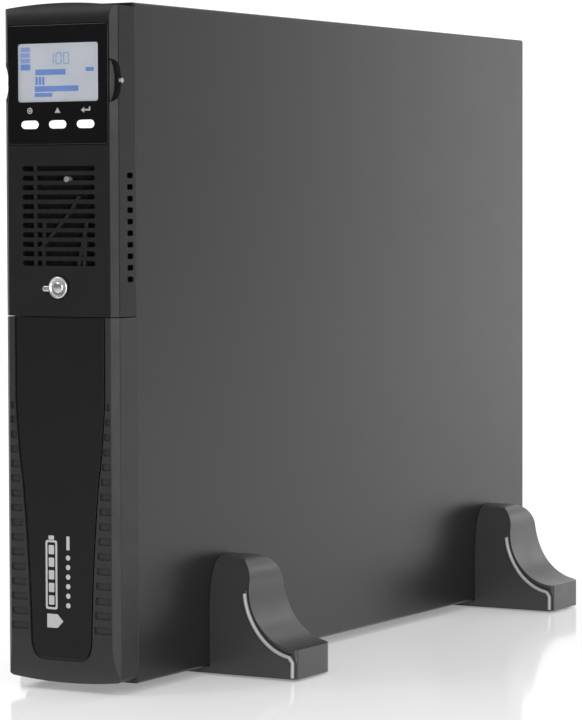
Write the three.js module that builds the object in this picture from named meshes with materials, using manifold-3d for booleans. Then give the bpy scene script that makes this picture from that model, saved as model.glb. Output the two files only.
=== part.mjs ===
// Tower UPS: an uninterruptible power supply of the 2U rack and tower kind, standing upright.
//
// Millimetres, +Z up, the front faces -Y and the large closed side faces +X.
// Pieces are drawn in the case frame: x = 0 on the centre plane, y = 0 on the front edge of the
// steel case, z = 0 on its underside. The last group moves that frame so that the origin is the
// middle of the footprint, on the floor.

import * as THREE from 'three';
import { mergeVertices } from 'three/addons/utils/BufferGeometryUtils.js';
import Module from 'manifold-3d';

const wasm = await Module();
wasm.setup();

// ---------------------------------------------------------------- driving dimensions
const caseWidth = 87;        // 2U body
const caseHeight = 440;      // body of a 19 inch rack unit, here turned upright
const caseDepth = 580;
const sheet = 1.2;           // steel thickness
const gap = 0.3;             // clearance between pieces that touch
const groundClearance = 6;   // case underside above the floor
const halfWidth = caseWidth / 2;

const bezelDepth = 24.3;     // moulded front, ahead of the case
const bezelWall = 2.5;
const bezelCorner = 4.5;     // leg of the flat 45 degree corners at the front
const bezelArch = 3;         // how far the top and bottom edges bow
const seamZ = 238;           // split between the upper bezel and the battery cover

const displaySize = 77;      // square display module
const displayZ = 387.5;      // its centre
const displayProud = 0.4;    // how far it stands out of the bezel
const displayFront = -bezelDepth - displayProud;
const keyPitch = 21.4;
const keyWidth = 14;
const keyHeight = 5.6;
const keyZ = displayZ - 25.6;

const batteryWidth = 65;     // 12 V 9 Ah block: 65 x 151 x 94
const batteryLength = 151;
const batteryHeight = 94;
const batteryPitch = 153;
const frameFront = 2;       // steel plate just inside the case's front edge
const trayFront = frameFront;
const trayLength = 463;
const trayLowZ = 8;
const trayHighZ = 214;
const trayOpenX = 32;        // the tray is open on this side

const dividerZ = 234;
const rearInset = 1.6;       // rear panel inside the case's rear edge
const rearFace = caseDepth - rearInset;
const studTip = caseDepth + 12;
const originBehindFront = 282.1;   // half way along the whole unit

const fanSize = 80;
const fanThickness = 25;
const fanZ = 392;
const outletPitch = 34;

const footReach = 112.5;     // toe of a foot from the centre plane
const footWidth = 50;        // along the case
const footHeight = 73;       // above the case underside
const frontFootY = 89;
const rearFootY = 492;
const padThickness = 1.5;

// ---------------------------------------------------------------- materials
const paint = (colour, roughness, metalness = 0) =>
  new THREE.MeshStandardMaterial({ color: colour, roughness, metalness });
const blackSteel = paint(0x3c3d40, 0.55, 0.3);
const zincSteel = paint(0xa9adb0, 0.4, 0.9);
const darkPlastic = paint(0x2a2b2d, 0.6);
const greyPlastic = paint(0x47484b, 0.6);
const insetPlastic = paint(0x1b1c1e, 0.5);
const glossBlack = paint(0x0d0e10, 0.12);
const clearWindow = paint(0xc8d2dc, 0.08);
const screenGlass = paint(0xd6dbe6, 0.3);
const keyWhite = paint(0xf0f1ef, 0.4);
const chromed = paint(0xd7d9dc, 0.12, 1);
const boardGreen = paint(0x1d5a3a, 0.5);
const aluminium = paint(0xb6b9bc, 0.4, 0.9);
const copperWire = paint(0xa4562c, 0.35, 0.8);
const batteryCase = paint(0x2f3133, 0.65);
const foamGrey = paint(0x5b5d5f, 0.9);
const ferrite = paint(0x37383b, 0.7);
const canSleeve = paint(0x20242c, 0.35);
const connectorGrey = paint(0x707274, 0.6);
const connectorGreen = paint(0x2c8a4f, 0.5);
const socketBlack = paint(0x17181a, 0.45);
const redPlastic = paint(0xb02a20, 0.5);
const rubberBlack = paint(0x1c1c1d, 0.9);

// ---------------------------------------------------------------- shape helpers
const AXES = {
  // u, v are the shape's own axes; the extrusion runs along the named axis
  x: (from) => new THREE.Matrix4().set(0, 0, 1, from, 1, 0, 0, 0, 0, 1, 0, 0, 0, 0, 0, 1),
  y: (from, depth) =>
    new THREE.Matrix4().set(1, 0, 0, 0, 0, 0, -1, from + depth, 0, 1, 0, 0, 0, 0, 0, 1),
  z: (from) => new THREE.Matrix4().makeTranslation(0, 0, from),
};

function solid(geometry) {
  const bare = geometry.clone();
  bare.deleteAttribute('normal');
  bare.deleteAttribute('uv');
  const merged = mergeVertices(bare, 1e-4);
  return new wasm.Manifold(new wasm.Mesh({
    numProp: 3,
    vertProperties: new Float32Array(merged.attributes.position.array),
    triVerts: new Uint32Array(merged.index.array),
  }));
}

function geometryOf(manifold) {
  const mesh = manifold.getMesh();
  const geometry = new THREE.BufferGeometry();
  geometry.setAttribute('position', new THREE.BufferAttribute(mesh.vertProperties, 3));
  geometry.setIndex(new THREE.BufferAttribute(mesh.triVerts, 1));
  geometry.computeVertexNormals();
  return geometry;
}

const joined = (solids) => solids.reduce((sum, each) => sum.add(each));
const cut = (blank, tools) => blank.subtract(joined(tools));

function box(x0, x1, y0, y1, z0, z1) {
  const geometry = new THREE.BoxGeometry(x1 - x0, y1 - y0, z1 - z0);
  return solid(geometry.translate((x0 + x1) / 2, (y0 + y1) / 2, (z0 + z1) / 2));
}

function prism(shape, axis, from, to, curveSegments = 3) {
  const depth = to - from;
  const geometry = new THREE.ExtrudeGeometry(shape, {
    depth, bevelEnabled: false, curveSegments, steps: 1,
  });
  return solid(geometry.applyMatrix4(AXES[axis](from, depth)));
}

function outline(points) {
  return new THREE.Shape(points.map(([u, v]) => new THREE.Vector2(u, v)));
}

function roundedRect(u0, u1, v0, v1, radius) {
  const shape = new THREE.Shape();
  shape.moveTo(u0 + radius, v0);
  shape.lineTo(u1 - radius, v0);
  shape.absarc(u1 - radius, v0 + radius, radius, -Math.PI / 2, 0);
  shape.lineTo(u1, v1 - radius);
  shape.absarc(u1 - radius, v1 - radius, radius, 0, Math.PI / 2);
  shape.lineTo(u0 + radius, v1);
  shape.absarc(u0 + radius, v1 - radius, radius, Math.PI / 2, Math.PI);
  shape.lineTo(u0, v0 + radius);
  shape.absarc(u0 + radius, v0 + radius, radius, Math.PI, 1.5 * Math.PI);
  return shape;
}

const pill = (u, v, width, height) =>
  roundedRect(u - width / 2, u + width / 2, v - height / 2, v + height / 2, height / 2 - 0.01);

function circle(u, v, radius) {
  const shape = new THREE.Shape();
  shape.absarc(u, v, radius, 0, 2 * Math.PI);
  return shape;
}

const rod = (axis, u, v, radius, from, to, sides = 4) =>
  prism(circle(u, v, radius), axis, from, to, sides);

function lathe(profile, segments, place) {
  const points = profile.map(([radius, height]) => new THREE.Vector2(radius, height));
  return solid(new THREE.LatheGeometry(points, segments).applyMatrix4(place));
}

// turns a lathe's own +Y axis, which already lies along the case, and moves it to a centre
const along = (x, y, z) => new THREE.Matrix4().makeTranslation(x, y, z);
const acrossX = (x, y, z) =>
  new THREE.Matrix4().set(0, 1, 0, x, 0, 0, 1, y, 1, 0, 0, z, 0, 0, 0, 1);

function tube(points, radius, steps, sides) {
  const path = new THREE.CatmullRomCurve3(points.map((p) => new THREE.Vector3(...p)));
  const section = new THREE.Shape();
  section.absarc(0, 0, radius, 0, 2 * Math.PI);
  return solid(new THREE.ExtrudeGeometry(section, {
    extrudePath: path, steps, curveSegments: sides, bevelEnabled: false,
  }));
}

const mirrored = (manifold) => manifold.mirror([1, 0, 0]);

function piece(group, name, shape, material, position = [0, 0, 0]) {
  const mesh = new THREE.Mesh(geometryOf(shape), material);
  mesh.name = name;
  mesh.position.set(...position);
  group.add(mesh);
}

// ---------------------------------------------------------------- steel case
const innerX = halfWidth - sheet - gap;

function outerCover() {
  const bend = 2;
  const blank = prism(
    roundedRect(-halfWidth - 10, halfWidth, 0, caseHeight, bend), 'y', 0, caseDepth, 2);
  const hollow = prism(
    roundedRect(-halfWidth - 20, halfWidth - sheet, sheet, caseHeight - sheet, bend - sheet),
    'y', -1, caseDepth + 1, 2);
  const openSide = box(-halfWidth - 30, -halfWidth, -1, caseDepth + 1, -1, caseHeight + 1);
  return cut(blank, [hollow, openSide]);
}

function chassisBase() {
  const flange = 20;
  const low = sheet + gap;
  const high = caseHeight - low;
  const left = -halfWidth;
  return prism(outline([
    [left, low], [left + flange, low], [left + flange, low + sheet], [left + sheet, low + sheet],
    [left + sheet, high - sheet], [left + flange, high - sheet], [left + flange, high],
    [left, high],
  ]), 'y', 0.5, caseDepth - 0.5);
}

const plateLowZ = 2 * sheet + 2 * gap;
const plateHighZ = caseHeight - plateLowZ;
const trayOpening = { x: 37.5, low: 6, high: 216 };

function frontFrame() {
  const plate = box(-innerX, innerX, frameFront, frameFront + sheet, plateLowZ, plateHighZ);
  const holes = [
    box(-trayOpening.x, trayOpening.x, 0, 5, trayOpening.low, trayOpening.high),
    box(-20, 20, 0, 5, displayZ - 8, displayZ + 8),
  ];
  const intakeRows = 8;
  for (let row = 0; row < intakeRows; row += 1) {
    const z = 272 + row * 8.6;
    holes.push(box(-30, 30, 0, 5, z, z + 5.5));
  }
  return cut(plate, holes);
}

const slotCoverBox = { x0: -38, x1: -2, z0: 214, z1: 342 };
const inletAt = { x: -20, z: 36 };
const breakerAt = { x: 22, z: 44 };
const studAt = { x: 22, z: 18 };
const serialAt = { x: 22, z: 318 };
const usbAt = { x: 22, z: 284 };
const terminalAt = { x: 22, z: 248 };
const outletBlocks = { outlet_block_lower: 103, outlet_block_upper: 173 };

function rearPanel() {
  const plate = box(-innerX, innerX, rearFace - sheet, rearFace, plateLowZ, plateHighZ);
  const through = (x0, x1, z0, z1) => box(x0, x1, rearFace - 5, rearFace + 5, z0, z1);
  const holes = [
    rod('y', 0, fanZ, 37, rearFace - 5, rearFace + 5, 8),
    through(inletAt.x - 13.5, inletAt.x + 13.5, inletAt.z - 18.5, inletAt.z + 18.5),
    rod('y', breakerAt.x, breakerAt.z, 6.3, rearFace - 5, rearFace + 5, 6),
    rod('y', studAt.x, studAt.z, 2.8, rearFace - 5, rearFace + 5, 4),
    through(slotCoverBox.x0 + 5, slotCoverBox.x1 - 5, slotCoverBox.z0 + 8, slotCoverBox.z1 - 8),
    through(serialAt.x - 6.5, serialAt.x + 6.5, serialAt.z - 11, serialAt.z + 11),
    through(usbAt.x - 6.5, usbAt.x + 6.5, usbAt.z - 7, usbAt.z + 7),
    through(terminalAt.x - 5.5, terminalAt.x + 5.5, terminalAt.z - 11, terminalAt.z + 11),
  ];
  for (const z of Object.values(outletBlocks)) {
    holes.push(through(-outletPitch + 1.5, outletPitch - 1.5, z - 32, z + 32));
  }
  return cut(plate, holes);
}

function bayDivider() {
  return box(-innerX, innerX, frameFront + sheet + gap, 482, dividerZ, dividerZ + sheet);
}

function steelCase() {
  const group = new THREE.Group();
  piece(group, 'outer_cover', outerCover(), blackSteel);
  piece(group, 'chassis_base', chassisBase(), blackSteel);
  piece(group, 'front_frame', frontFrame(), zincSteel);
  piece(group, 'rear_panel', rearPanel(), blackSteel);
  piece(group, 'bay_divider', bayDivider(), zincSteel);
  return group;
}

// ---------------------------------------------------------------- moulded front
// plan view of the moulded front: a flat face between two flat corners, open at the back
function frontPlan(inset) {
  const half = halfWidth - inset;
  const front = -bezelDepth + inset;
  const leg = bezelCorner - (2 - Math.SQRT2) * inset;
  const shape = new THREE.Shape();
  shape.moveTo(half, -gap);
  shape.lineTo(-half, -gap);
  shape.lineTo(-half, front + leg);
  shape.lineTo(-half + leg, front);
  shape.lineTo(half - leg, front);
  shape.lineTo(half, front + leg);
  return shape;
}

// front view of a bezel: straight sides, with one edge bowed by bezelArch and round corners
const archRadius = (halfWidth * halfWidth + bezelArch * bezelArch) / (2 * bezelArch);
const archAngle = Math.asin(halfWidth / archRadius);

function upperFace(inset) {
  const half = halfWidth - inset;
  const shape = new THREE.Shape();
  shape.moveTo(-half, seamZ + gap + inset);
  shape.lineTo(half, seamZ + gap + inset);
  shape.lineTo(half, caseHeight - bezelArch - inset - 1.5);
  shape.absarc(0, caseHeight - inset - archRadius, archRadius,
    Math.PI / 2 - archAngle + 0.02, Math.PI / 2 + archAngle - 0.02);
  shape.lineTo(-half, caseHeight - bezelArch - inset - 1.5);
  return shape;
}

function lowerFace(inset) {
  const half = halfWidth - inset;
  const corner = 8 - inset;
  const shape = new THREE.Shape();
  shape.moveTo(half, seamZ - gap - inset);
  shape.lineTo(-half, seamZ - gap - inset);
  shape.lineTo(-half, bezelArch + corner + inset);
  shape.absarc(-half + corner, bezelArch + corner + inset, corner, Math.PI, 1.42 * Math.PI);
  shape.absarc(0, archRadius + inset, archRadius,
    1.5 * Math.PI - archAngle * 0.86, 1.5 * Math.PI + archAngle * 0.86);
  shape.absarc(half - corner, bezelArch + corner + inset, corner, 1.58 * Math.PI, 2 * Math.PI);
  return shape;
}

// side view: the front face leans back over the last stretch before an end
function leaningSide(endZ, towardZ, length, lean) {
  const sign = Math.sign(endZ - towardZ);
  const shape = new THREE.Shape();
  shape.moveTo(40, towardZ);
  shape.lineTo(-60, towardZ);
  shape.lineTo(-bezelDepth, endZ - sign * length);
  shape.quadraticCurveTo(-bezelDepth, endZ - sign * length * 0.4, -bezelDepth + lean, endZ);
  shape.lineTo(40, endZ + sign * 10);
  return shape;
}

const recessHalf = displaySize / 2 + 0.4;
const recessFloor = -4;

const grilleRows = 11;
const grilleLowZ = 272.6;
const grillePitch = 6.1;
const grilleHalf = 28;
const ventRows = 10;
const ventLowZ = 262.3;
const ventPitch = 7.4;
const ventY = -7;
const badgeZ = 257;
const lensAt = { x: 6, z: 326.6 };

function fingerNotch() {
  const depth = 6.2;
  const shape = roundedRect(
    -bezelDepth - 12, -bezelDepth + depth, displayZ - 12, displayZ + 16, 5);
  return prism(shape, 'x', -halfWidth - 5, halfWidth + 5, 2);
}

function upperBezel() {
  const shell = (inset, low, high) => prism(frontPlan(inset), 'z', low, high)
    .intersect(prism(upperFace(inset), 'y', -bezelDepth - 5, 5, 6));
  const lean = prism(leaningSide(caseHeight, seamZ, 14, 4), 'x', -halfWidth - 5, halfWidth + 5, 4);
  const outside = shell(0, seamZ, caseHeight).intersect(lean);
  const inside = shell(bezelWall, seamZ, caseHeight)
    .intersect(lean.translate([0, bezelWall, -bezelWall]))
    .translate([0, 0.01, 0])
    .add(box(-halfWidth + bezelWall, halfWidth - bezelWall, -gap - 0.5, 5,
      seamZ + gap + bezelWall, caseHeight - bezelArch - 4));
  const recessWall = box(-halfWidth + 1, halfWidth - 1, -bezelDepth + 1, recessFloor + 2,
    displayZ - recessHalf - 2, displayZ + recessHalf + 2);
  const recess = box(-recessHalf, recessHalf, -40, recessFloor,
    displayZ - recessHalf, displayZ + recessHalf);
  const hollow = inside.subtract(recessWall);
  const cable = box(-18, 18, -10, 5, displayZ - 6, displayZ + 6);
  const cuts = [hollow, recess, cable, fingerNotch()];
  for (let row = 0; row < grilleRows; row += 1) {
    const z = grilleLowZ + row * grillePitch;
    cuts.push(prism(pill(0, z, 2 * grilleHalf, 3.4), 'y', -bezelDepth - 2, -bezelDepth + 6, 1));
  }
  for (let row = 0; row < ventRows; row += 1) {
    const z = ventLowZ + row * ventPitch;
    const slot = roundedRect(ventY - 3.5, ventY + 3.5, z - 1.8, z + 1.8, 0.8);
    cuts.push(prism(slot, 'x', halfWidth - bezelWall - 1, halfWidth + 1, 0.5));
    cuts.push(prism(slot, 'x', -halfWidth - 1, -halfWidth + bezelWall + 1, 0.5));
  }
  cuts.push(rod('y', 0, badgeZ, 2.3, -bezelDepth - 1, -bezelDepth + 5, 4));
  cuts.push(rod('y', lensAt.x, lensAt.z, 2.3, -bezelDepth - 1, -bezelDepth + 5, 4));
  return cut(outside, cuts);
}

// a round disc with a raised rim, held by a stem that passes through the bezel
function badge() {
  return lathe([
    [0, 4], [2, 4], [2, -gap], [7, -gap], [7, -1.6], [6.4, -2.1], [5.4, -2.1], [5, -1.5],
    [0, -1.9],
  ].reverse(), 18, along(0, -bezelDepth, badgeZ));
}

function statusLens() {
  return lathe([
    [0, -1], [1.1, -0.7], [1.9, 0], [1.9, 4.5], [0, 4.5],
  ], 12, along(lensAt.x, -bezelDepth, lensAt.z));
}

// the inset panel: straight at the top, narrowing in a long curve to a round tongue
function insetOutline(grow) {
  const top = seamZ - 1.2;
  const shape = new THREE.Shape();
  shape.moveTo(-34 - grow, top);
  shape.lineTo(-34 - grow, 185);
  shape.quadraticCurveTo(-32 - grow, 150, -29 - grow, 132);
  shape.quadraticCurveTo(-24 - grow, 80, -23 - grow, 30);
  shape.quadraticCurveTo(-22.5 - grow, 16 - grow, -14, 16 - grow);
  shape.lineTo(14, 16 - grow);
  shape.quadraticCurveTo(22.5 + grow, 16 - grow, 23 + grow, 30);
  shape.quadraticCurveTo(24 + grow, 80, 29 + grow, 132);
  shape.quadraticCurveTo(32 + grow, 150, 34 + grow, 185);
  shape.lineTo(34 + grow, top);
  return shape;
}

// half width of the inset panel at a height, for the rungs beside it
const insetHalf = (z) => (z > 132 ? 29 + 5 * Math.min((z - 132) / 53, 1) : 23 + 6 * (z - 30) / 102);
const insetDepth = 1.6;
const rungCount = 16;
const rungLowZ = 34;
const rungPitch = 9.6;

function batteryCover() {
  const lean = prism(leaningSide(0, seamZ, 34, 4), 'x', -halfWidth - 5, halfWidth + 5, 4);
  const shell = (inset) => prism(frontPlan(inset), 'z', 0, seamZ)
    .intersect(prism(lowerFace(inset), 'y', -bezelDepth - 5, 5, 5));
  const outside = shell(0).intersect(lean);
  const wall = bezelWall + 0.4;
  const inside = shell(wall).intersect(lean.translate([0, wall, wall]))
    .add(box(-halfWidth + wall, halfWidth - wall, -gap - 0.6, 5, 14, seamZ - gap - wall));
  const seat = prism(insetOutline(gap), 'y', -bezelDepth - 4, -bezelDepth + insetDepth + gap, 4);
  const cuts = [inside, seat];
  for (let rung = 0; rung < rungCount; rung += 1) {
    const z = rungLowZ + rung * rungPitch;
    const near = insetHalf(z) + 1.6;
    for (const side of [-1, 1]) {
      const ends = [side * near, side * 38.2].sort((a, b) => a - b);
      cuts.push(box(ends[0], ends[1], -bezelDepth - 2, -bezelDepth + 0.9, z, z + 4.4));
    }
  }
  return cut(outside, cuts);
}

function coverInset() {
  return prism(insetOutline(0), 'y', -bezelDepth + gap, -bezelDepth + insetDepth, 4);
}

function mouldedFront() {
  const group = new THREE.Group();
  piece(group, 'upper_bezel', upperBezel(), darkPlastic);
  piece(group, 'badge', badge(), chromed);
  piece(group, 'status_lens', statusLens(), clearWindow);
  piece(group, 'battery_cover', batteryCover(), greyPlastic);
  piece(group, 'cover_inset', coverInset(), insetPlastic);
  return group;
}

// ---------------------------------------------------------------- display module
const windowHalf = 31;
const windowLow = displayZ - 11;
const windowHigh = displayZ + 26.5;
const moduleHalf = displaySize / 2;
const moduleCorner = 2.5;
const keyBack = displayFront + 6.3;   // face of the circuit board behind the keys
const keyNames = ['button_left', 'button_middle', 'button_right'];

const moduleOutline = (inset) => roundedRect(-moduleHalf + inset, moduleHalf - inset,
  displayZ - moduleHalf + inset, displayZ + moduleHalf - inset, moduleCorner);

function displayHousing() {
  const blank = prism(moduleOutline(0), 'y', displayFront, -12, 2);
  const inside = prism(moduleOutline(2), 'y', displayFront + 2, -11, 2);
  const cuts = [inside, prism(
    roundedRect(-windowHalf, windowHalf, windowLow, windowHigh, 2), 'y', displayFront - 1, -20, 2)];
  keyNames.forEach((name, index) => {
    const x = (index - 1) * keyPitch;
    const hole = pill(x, keyZ, keyWidth + 2 * gap, keyHeight + 2 * gap);
    cuts.push(prism(hole, 'y', displayFront - 1, -20, 2));
  });
  return cut(blank, cuts);
}

function displayWindow() {
  const shape = roundedRect(
    -windowHalf + gap, windowHalf - gap, windowLow + gap, windowHigh - gap, 2 - gap);
  return prism(shape, 'y', displayFront + 0.4, displayFront + 1.6, 2);
}

function displayBack() {
  const blank = prism(moduleOutline(0), 'y', -12 + gap, recessFloor - 0.4, 2);
  const inside = prism(moduleOutline(2), 'y', -13, recessFloor - 2.4, 2);
  return cut(blank, [inside]);
}

function displayKey() {
  const travelRoom = 1.2;
  const back = keyBack - travelRoom;
  const cap = prism(pill(0, 0, keyWidth, keyHeight), 'y', displayFront - 1, back, 2);
  const flange = prism(
    pill(0, 0, keyWidth + 2.6, keyHeight + 2.6), 'y', displayFront + 2 + gap, displayFront + 4, 2);
  return cap.add(flange);
}

function displayModule() {
  const group = new THREE.Group();
  piece(group, 'display_housing', displayHousing(), glossBlack);
  piece(group, 'display_window', displayWindow(), clearWindow);
  piece(group, 'lcd_panel', box(-33, 33, displayFront + 2.3, displayFront + 5,
    windowLow - 1.5, windowHigh + 3), screenGlass);
  const boardOutline = roundedRect(-35, 35, displayZ - 35, displayZ + 35, 3);
  piece(group, 'display_board', prism(boardOutline, 'y', keyBack, keyBack + 1.6, 3), boardGreen);
  piece(group, 'display_back', displayBack(), glossBlack);
  keyNames.forEach((name, index) => {
    piece(group, name, displayKey(), keyWhite, [(index - 1) * keyPitch, 0, keyZ]);
  });
  return group;
}

// ---------------------------------------------------------------- battery tray
const trayLeft = -35.5;
const batteryX = trayLeft + sheet + gap + batteryWidth / 2;
const terminalHeight = 5;
const lowRowZ = trayLowZ + sheet + gap;
const highRowZ = trayHighZ - sheet - gap - batteryHeight;
const leadX = 25;            // where the battery lead enters the tray, between the rows
const leadZ = (lowRowZ + highRowZ + batteryHeight) / 2;

function batteryTray() {
  const blank = box(trayLeft, trayOpenX, trayFront, trayFront + trayLength, trayLowZ, trayHighZ);
  const inside = box(trayLeft + sheet, trayOpenX + 5, trayFront + sheet,
    trayFront + trayLength - sheet, trayLowZ + sheet, trayHighZ - sheet);
  const leadHole = rod('y', leadX, leadZ, 5, trayFront - 2, trayFront + 4, 4);
  return cut(blank, [inside, leadHole]);
}

// a block battery with its lid step and two blade terminals; up is +1 or -1
function battery(up) {
  const half = batteryLength / 2;
  const lid = batteryHeight - 8;
  const parts = [
    box(-batteryWidth / 2, batteryWidth / 2, -half, half, 0, lid),
    box(-batteryWidth / 2 + 1, batteryWidth / 2 - 1, -half + 1, half - 1, lid - 1, batteryHeight),
  ];
  for (const y of [-half + 12, half - 12]) {
    parts.push(box(-22, -15.5, y - 0.4, y + 0.4, batteryHeight - 1, batteryHeight + terminalHeight));
  }
  const whole = joined(parts);
  return up > 0 ? whole : whole.rotate([180, 0, 0]).translate([0, 0, batteryHeight]);
}

function batterySpacer() {
  const low = lowRowZ + batteryHeight + gap;
  const high = highRowZ - gap;
  return box(-8, trayOpenX - 2, 18, trayFront + trayLength - 12, low, high);
}

const retainerLow = 4;
const retainerHigh = 219;
const retainerFront = 0.4;

function trayRetainer() {
  const plate = box(-39, 39, retainerFront, retainerFront + sheet, retainerLow, retainerHigh);
  return cut(plate, [rod('y', leadX, leadZ, 5, -5, 5, 4)]);
}

const handleLowZ = 88;
const handleHighZ = 168;
const handleReach = -14;

function trayHandle() {
  const back = retainerFront - gap;
  const bend = 4;
  return tube([
    [0, back, handleLowZ], [0, back - 5, handleLowZ], [0, handleReach + 0.8, handleLowZ + 1.2],
    [0, handleReach, handleLowZ + bend + 3], [0, handleReach, handleHighZ - bend - 3],
    [0, handleReach + 0.8, handleHighZ - 1.2], [0, back - 5, handleHighZ],
    [0, back, handleHighZ],
  ], 2.4, 24, 2);
}

const socketLowZ = 221;
const socketHighZ = 232.5;

function batterySocket() {
  return box(-15, 15, -8, frameFront - gap, socketLowZ, socketHighZ);
}

function batteryPlug() {
  return box(-15, 15, -19.5, -8 - gap, socketLowZ, socketHighZ);
}

function batteryLead() {
  return tube([
    [9, -13, socketLowZ - gap], [9.5, -13, 212], [15, -10.5, 192], [23, -6, 170], [25, -5, 140],
    [leadX, -5, 122], [leadX, -2, leadZ + 2.5], [leadX, 4, leadZ], [leadX, 12, leadZ],
  ], 3.4, 24, 2);
}

function trayAssembly() {
  const group = new THREE.Group();
  piece(group, 'battery_tray', batteryTray(), zincSteel);
  const firstY = trayFront + sheet + gap + 0.5 + batteryLength / 2;
  for (let index = 0; index < 6; index += 1) {
    const column = index % 3;
    const row = Math.floor(index / 3);
    piece(group, `battery_${index + 1}`, battery(row === 0 ? 1 : -1), batteryCase,
      [batteryX, firstY + column * batteryPitch, row === 0 ? lowRowZ : highRowZ]);
  }
  piece(group, 'battery_spacer', batterySpacer(), foamGrey);
  piece(group, 'tray_retainer', trayRetainer(), zincSteel);
  piece(group, 'tray_handle', trayHandle(), chromed);
  piece(group, 'battery_plug', batteryPlug(), redPlastic);
  piece(group, 'battery_lead', batteryLead(), rubberBlack);
  piece(group, 'battery_socket', batterySocket(), redPlastic);
  return group;
}

// ---------------------------------------------------------------- electronics bay
const boardX = -34;
const boardFace = boardX + 1.6;

// an extrusion along the case: a base plate on edge with a row of fins
function heatsink() {
  const length = 190;
  const fins = 9;
  const pitch = 6;
  const fin = { thick: 2.2, height: 42 };
  const parts = [box(0, (fins - 1) * pitch + fin.thick, 0, length, 0, 4)];
  for (let index = 0; index < fins; index += 1) {
    const x = index * pitch;
    parts.push(box(x, x + fin.thick, 0, length, 0, fin.height));
  }
  return joined(parts);
}

function choke() {
  const ring = new THREE.TorusGeometry(19, 8.5, 8, 18);
  return solid(ring.applyMatrix4(AXES.x(0)));
}

function capacitor() {
  return lathe([
    [0, 0], [16.5, 0], [17.2, 0.8], [17.2, 44], [16.4, 45], [14.5, 45], [14.5, 44.2], [0, 44.2],
  ], 16, acrossX(0, 0, 0));
}

function transformer() {
  const core = box(0, 38, -21, 21, -24, 24);
  const windows = [box(-1, 39, -13, -8.01, -14, 14), box(-1, 39, 8.01, 13, -14, 14)];
  const winding = box(5, 33, -26, 26, -13.5, 13.5);
  return cut(core, windows).add(winding);
}

function electronics() {
  const group = new THREE.Group();
  piece(group, 'main_board', box(boardX, boardFace, 30, 470, 242, 432), boardGreen);
  const stand = boardFace + gap;
  piece(group, 'heatsink_1', heatsink(), aluminium, [stand, 60, 386]);
  piece(group, 'heatsink_2', heatsink(), aluminium, [stand, 270, 386]);
  piece(group, 'choke_1', choke(), copperWire, [stand + 8.8, 90, 290]);
  piece(group, 'choke_2', choke(), copperWire, [stand + 8.8, 160, 290]);
  piece(group, 'bus_capacitor_1', capacitor(), canSleeve, [stand, 330, 270]);
  piece(group, 'bus_capacitor_2', capacitor(), canSleeve, [stand, 370, 270]);
  piece(group, 'transformer', transformer(), ferrite, [stand, 250, 300]);
  return group;
}

// ---------------------------------------------------------------- fan
const fanBack = rearFace - sheet - gap;
const fanFront = fanBack - fanThickness;

function fanFrame() {
  const half = fanSize / 2;
  const blank = prism(roundedRect(-half, half, fanZ - half, fanZ + half, 4), 'y',
    fanFront, fanBack, 3);
  const bore = rod('y', 0, fanZ, 37.5, fanFront - 1, fanBack + 1, 8);
  const hub = rod('y', 0, fanZ, 16, fanBack - 5, fanBack, 5);
  const struts = [];
  for (let index = 0; index < 3; index += 1) {
    const strut = box(12, 39, -1.8, 0, -2, 2).rotate([0, 90 + index * 120, 0]);
    struts.push(strut.translate([0, fanBack, fanZ]));
  }
  return cut(blank, [bore]).add(hub).add(joined(struts));
}

function fanRotor() {
  const depth = fanThickness - 8;
  const start = fanFront + 1.5;
  const hub = rod('y', 0, 0, 16, start, start + depth, 6);
  const blades = [];
  for (let index = 0; index < 7; index += 1) {
    const blade = box(13, 35.5, -7.5, 7.5, -0.8, 0.8).rotate([35, 0, 0]).rotate(
      [0, index * 360 / 7, 0]);
    blades.push(blade.translate([0, start + depth / 2, 0]));
  }
  return hub.add(joined(blades));
}

function fanGuard() {
  const wire = 1;
  const level = rearFace + gap;
  const rings = [13, 24.5, 36].map((radius) => lathe([
    [radius - wire, 0], [radius + wire, 0], [radius + wire, 1.6], [radius - wire, 1.6],
    [radius - wire, 0],
  ], 28, along(0, level, fanZ)));
  const spokes = [45, 135, 225, 315].map((angle) =>
    box(11.5, 52, 0.4, 2, -wire, wire).rotate([0, angle, 0]).translate([0, level, fanZ]));
  return joined([...rings, ...spokes]);
}

function fan() {
  const group = new THREE.Group();
  piece(group, 'fan_frame', fanFrame(), darkPlastic);
  piece(group, 'fan_rotor', fanRotor(), darkPlastic, [0, 0, fanZ]);
  piece(group, 'fan_guard', fanGuard(), zincSteel);
  return group;
}

// ---------------------------------------------------------------- rear connections
const onPanel = rearFace + gap;

// appliance inlet, long side upright: a deep recess with three blades
function powerInlet() {
  const flange = prism(roundedRect(-15, 15, -26, 26, 3), 'y', onPanel, onPanel + 3, 3);
  const housing = box(-13, 13, onPanel - 26, onPanel + 1, -18, 18);
  const recess = prism(roundedRect(-11, 11, -15, 15, 3), 'y', onPanel - 20, onPanel + 4, 3);
  const blades = [[3, -7], [3, 7], [-5, 0]].map(([x, z]) =>
    box(x - 1, x + 1, onPanel - 21, onPanel - 3.5, z - 3.5, z + 3.5));
  return cut(flange.add(housing), [recess]).add(joined(blades));
}

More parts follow.
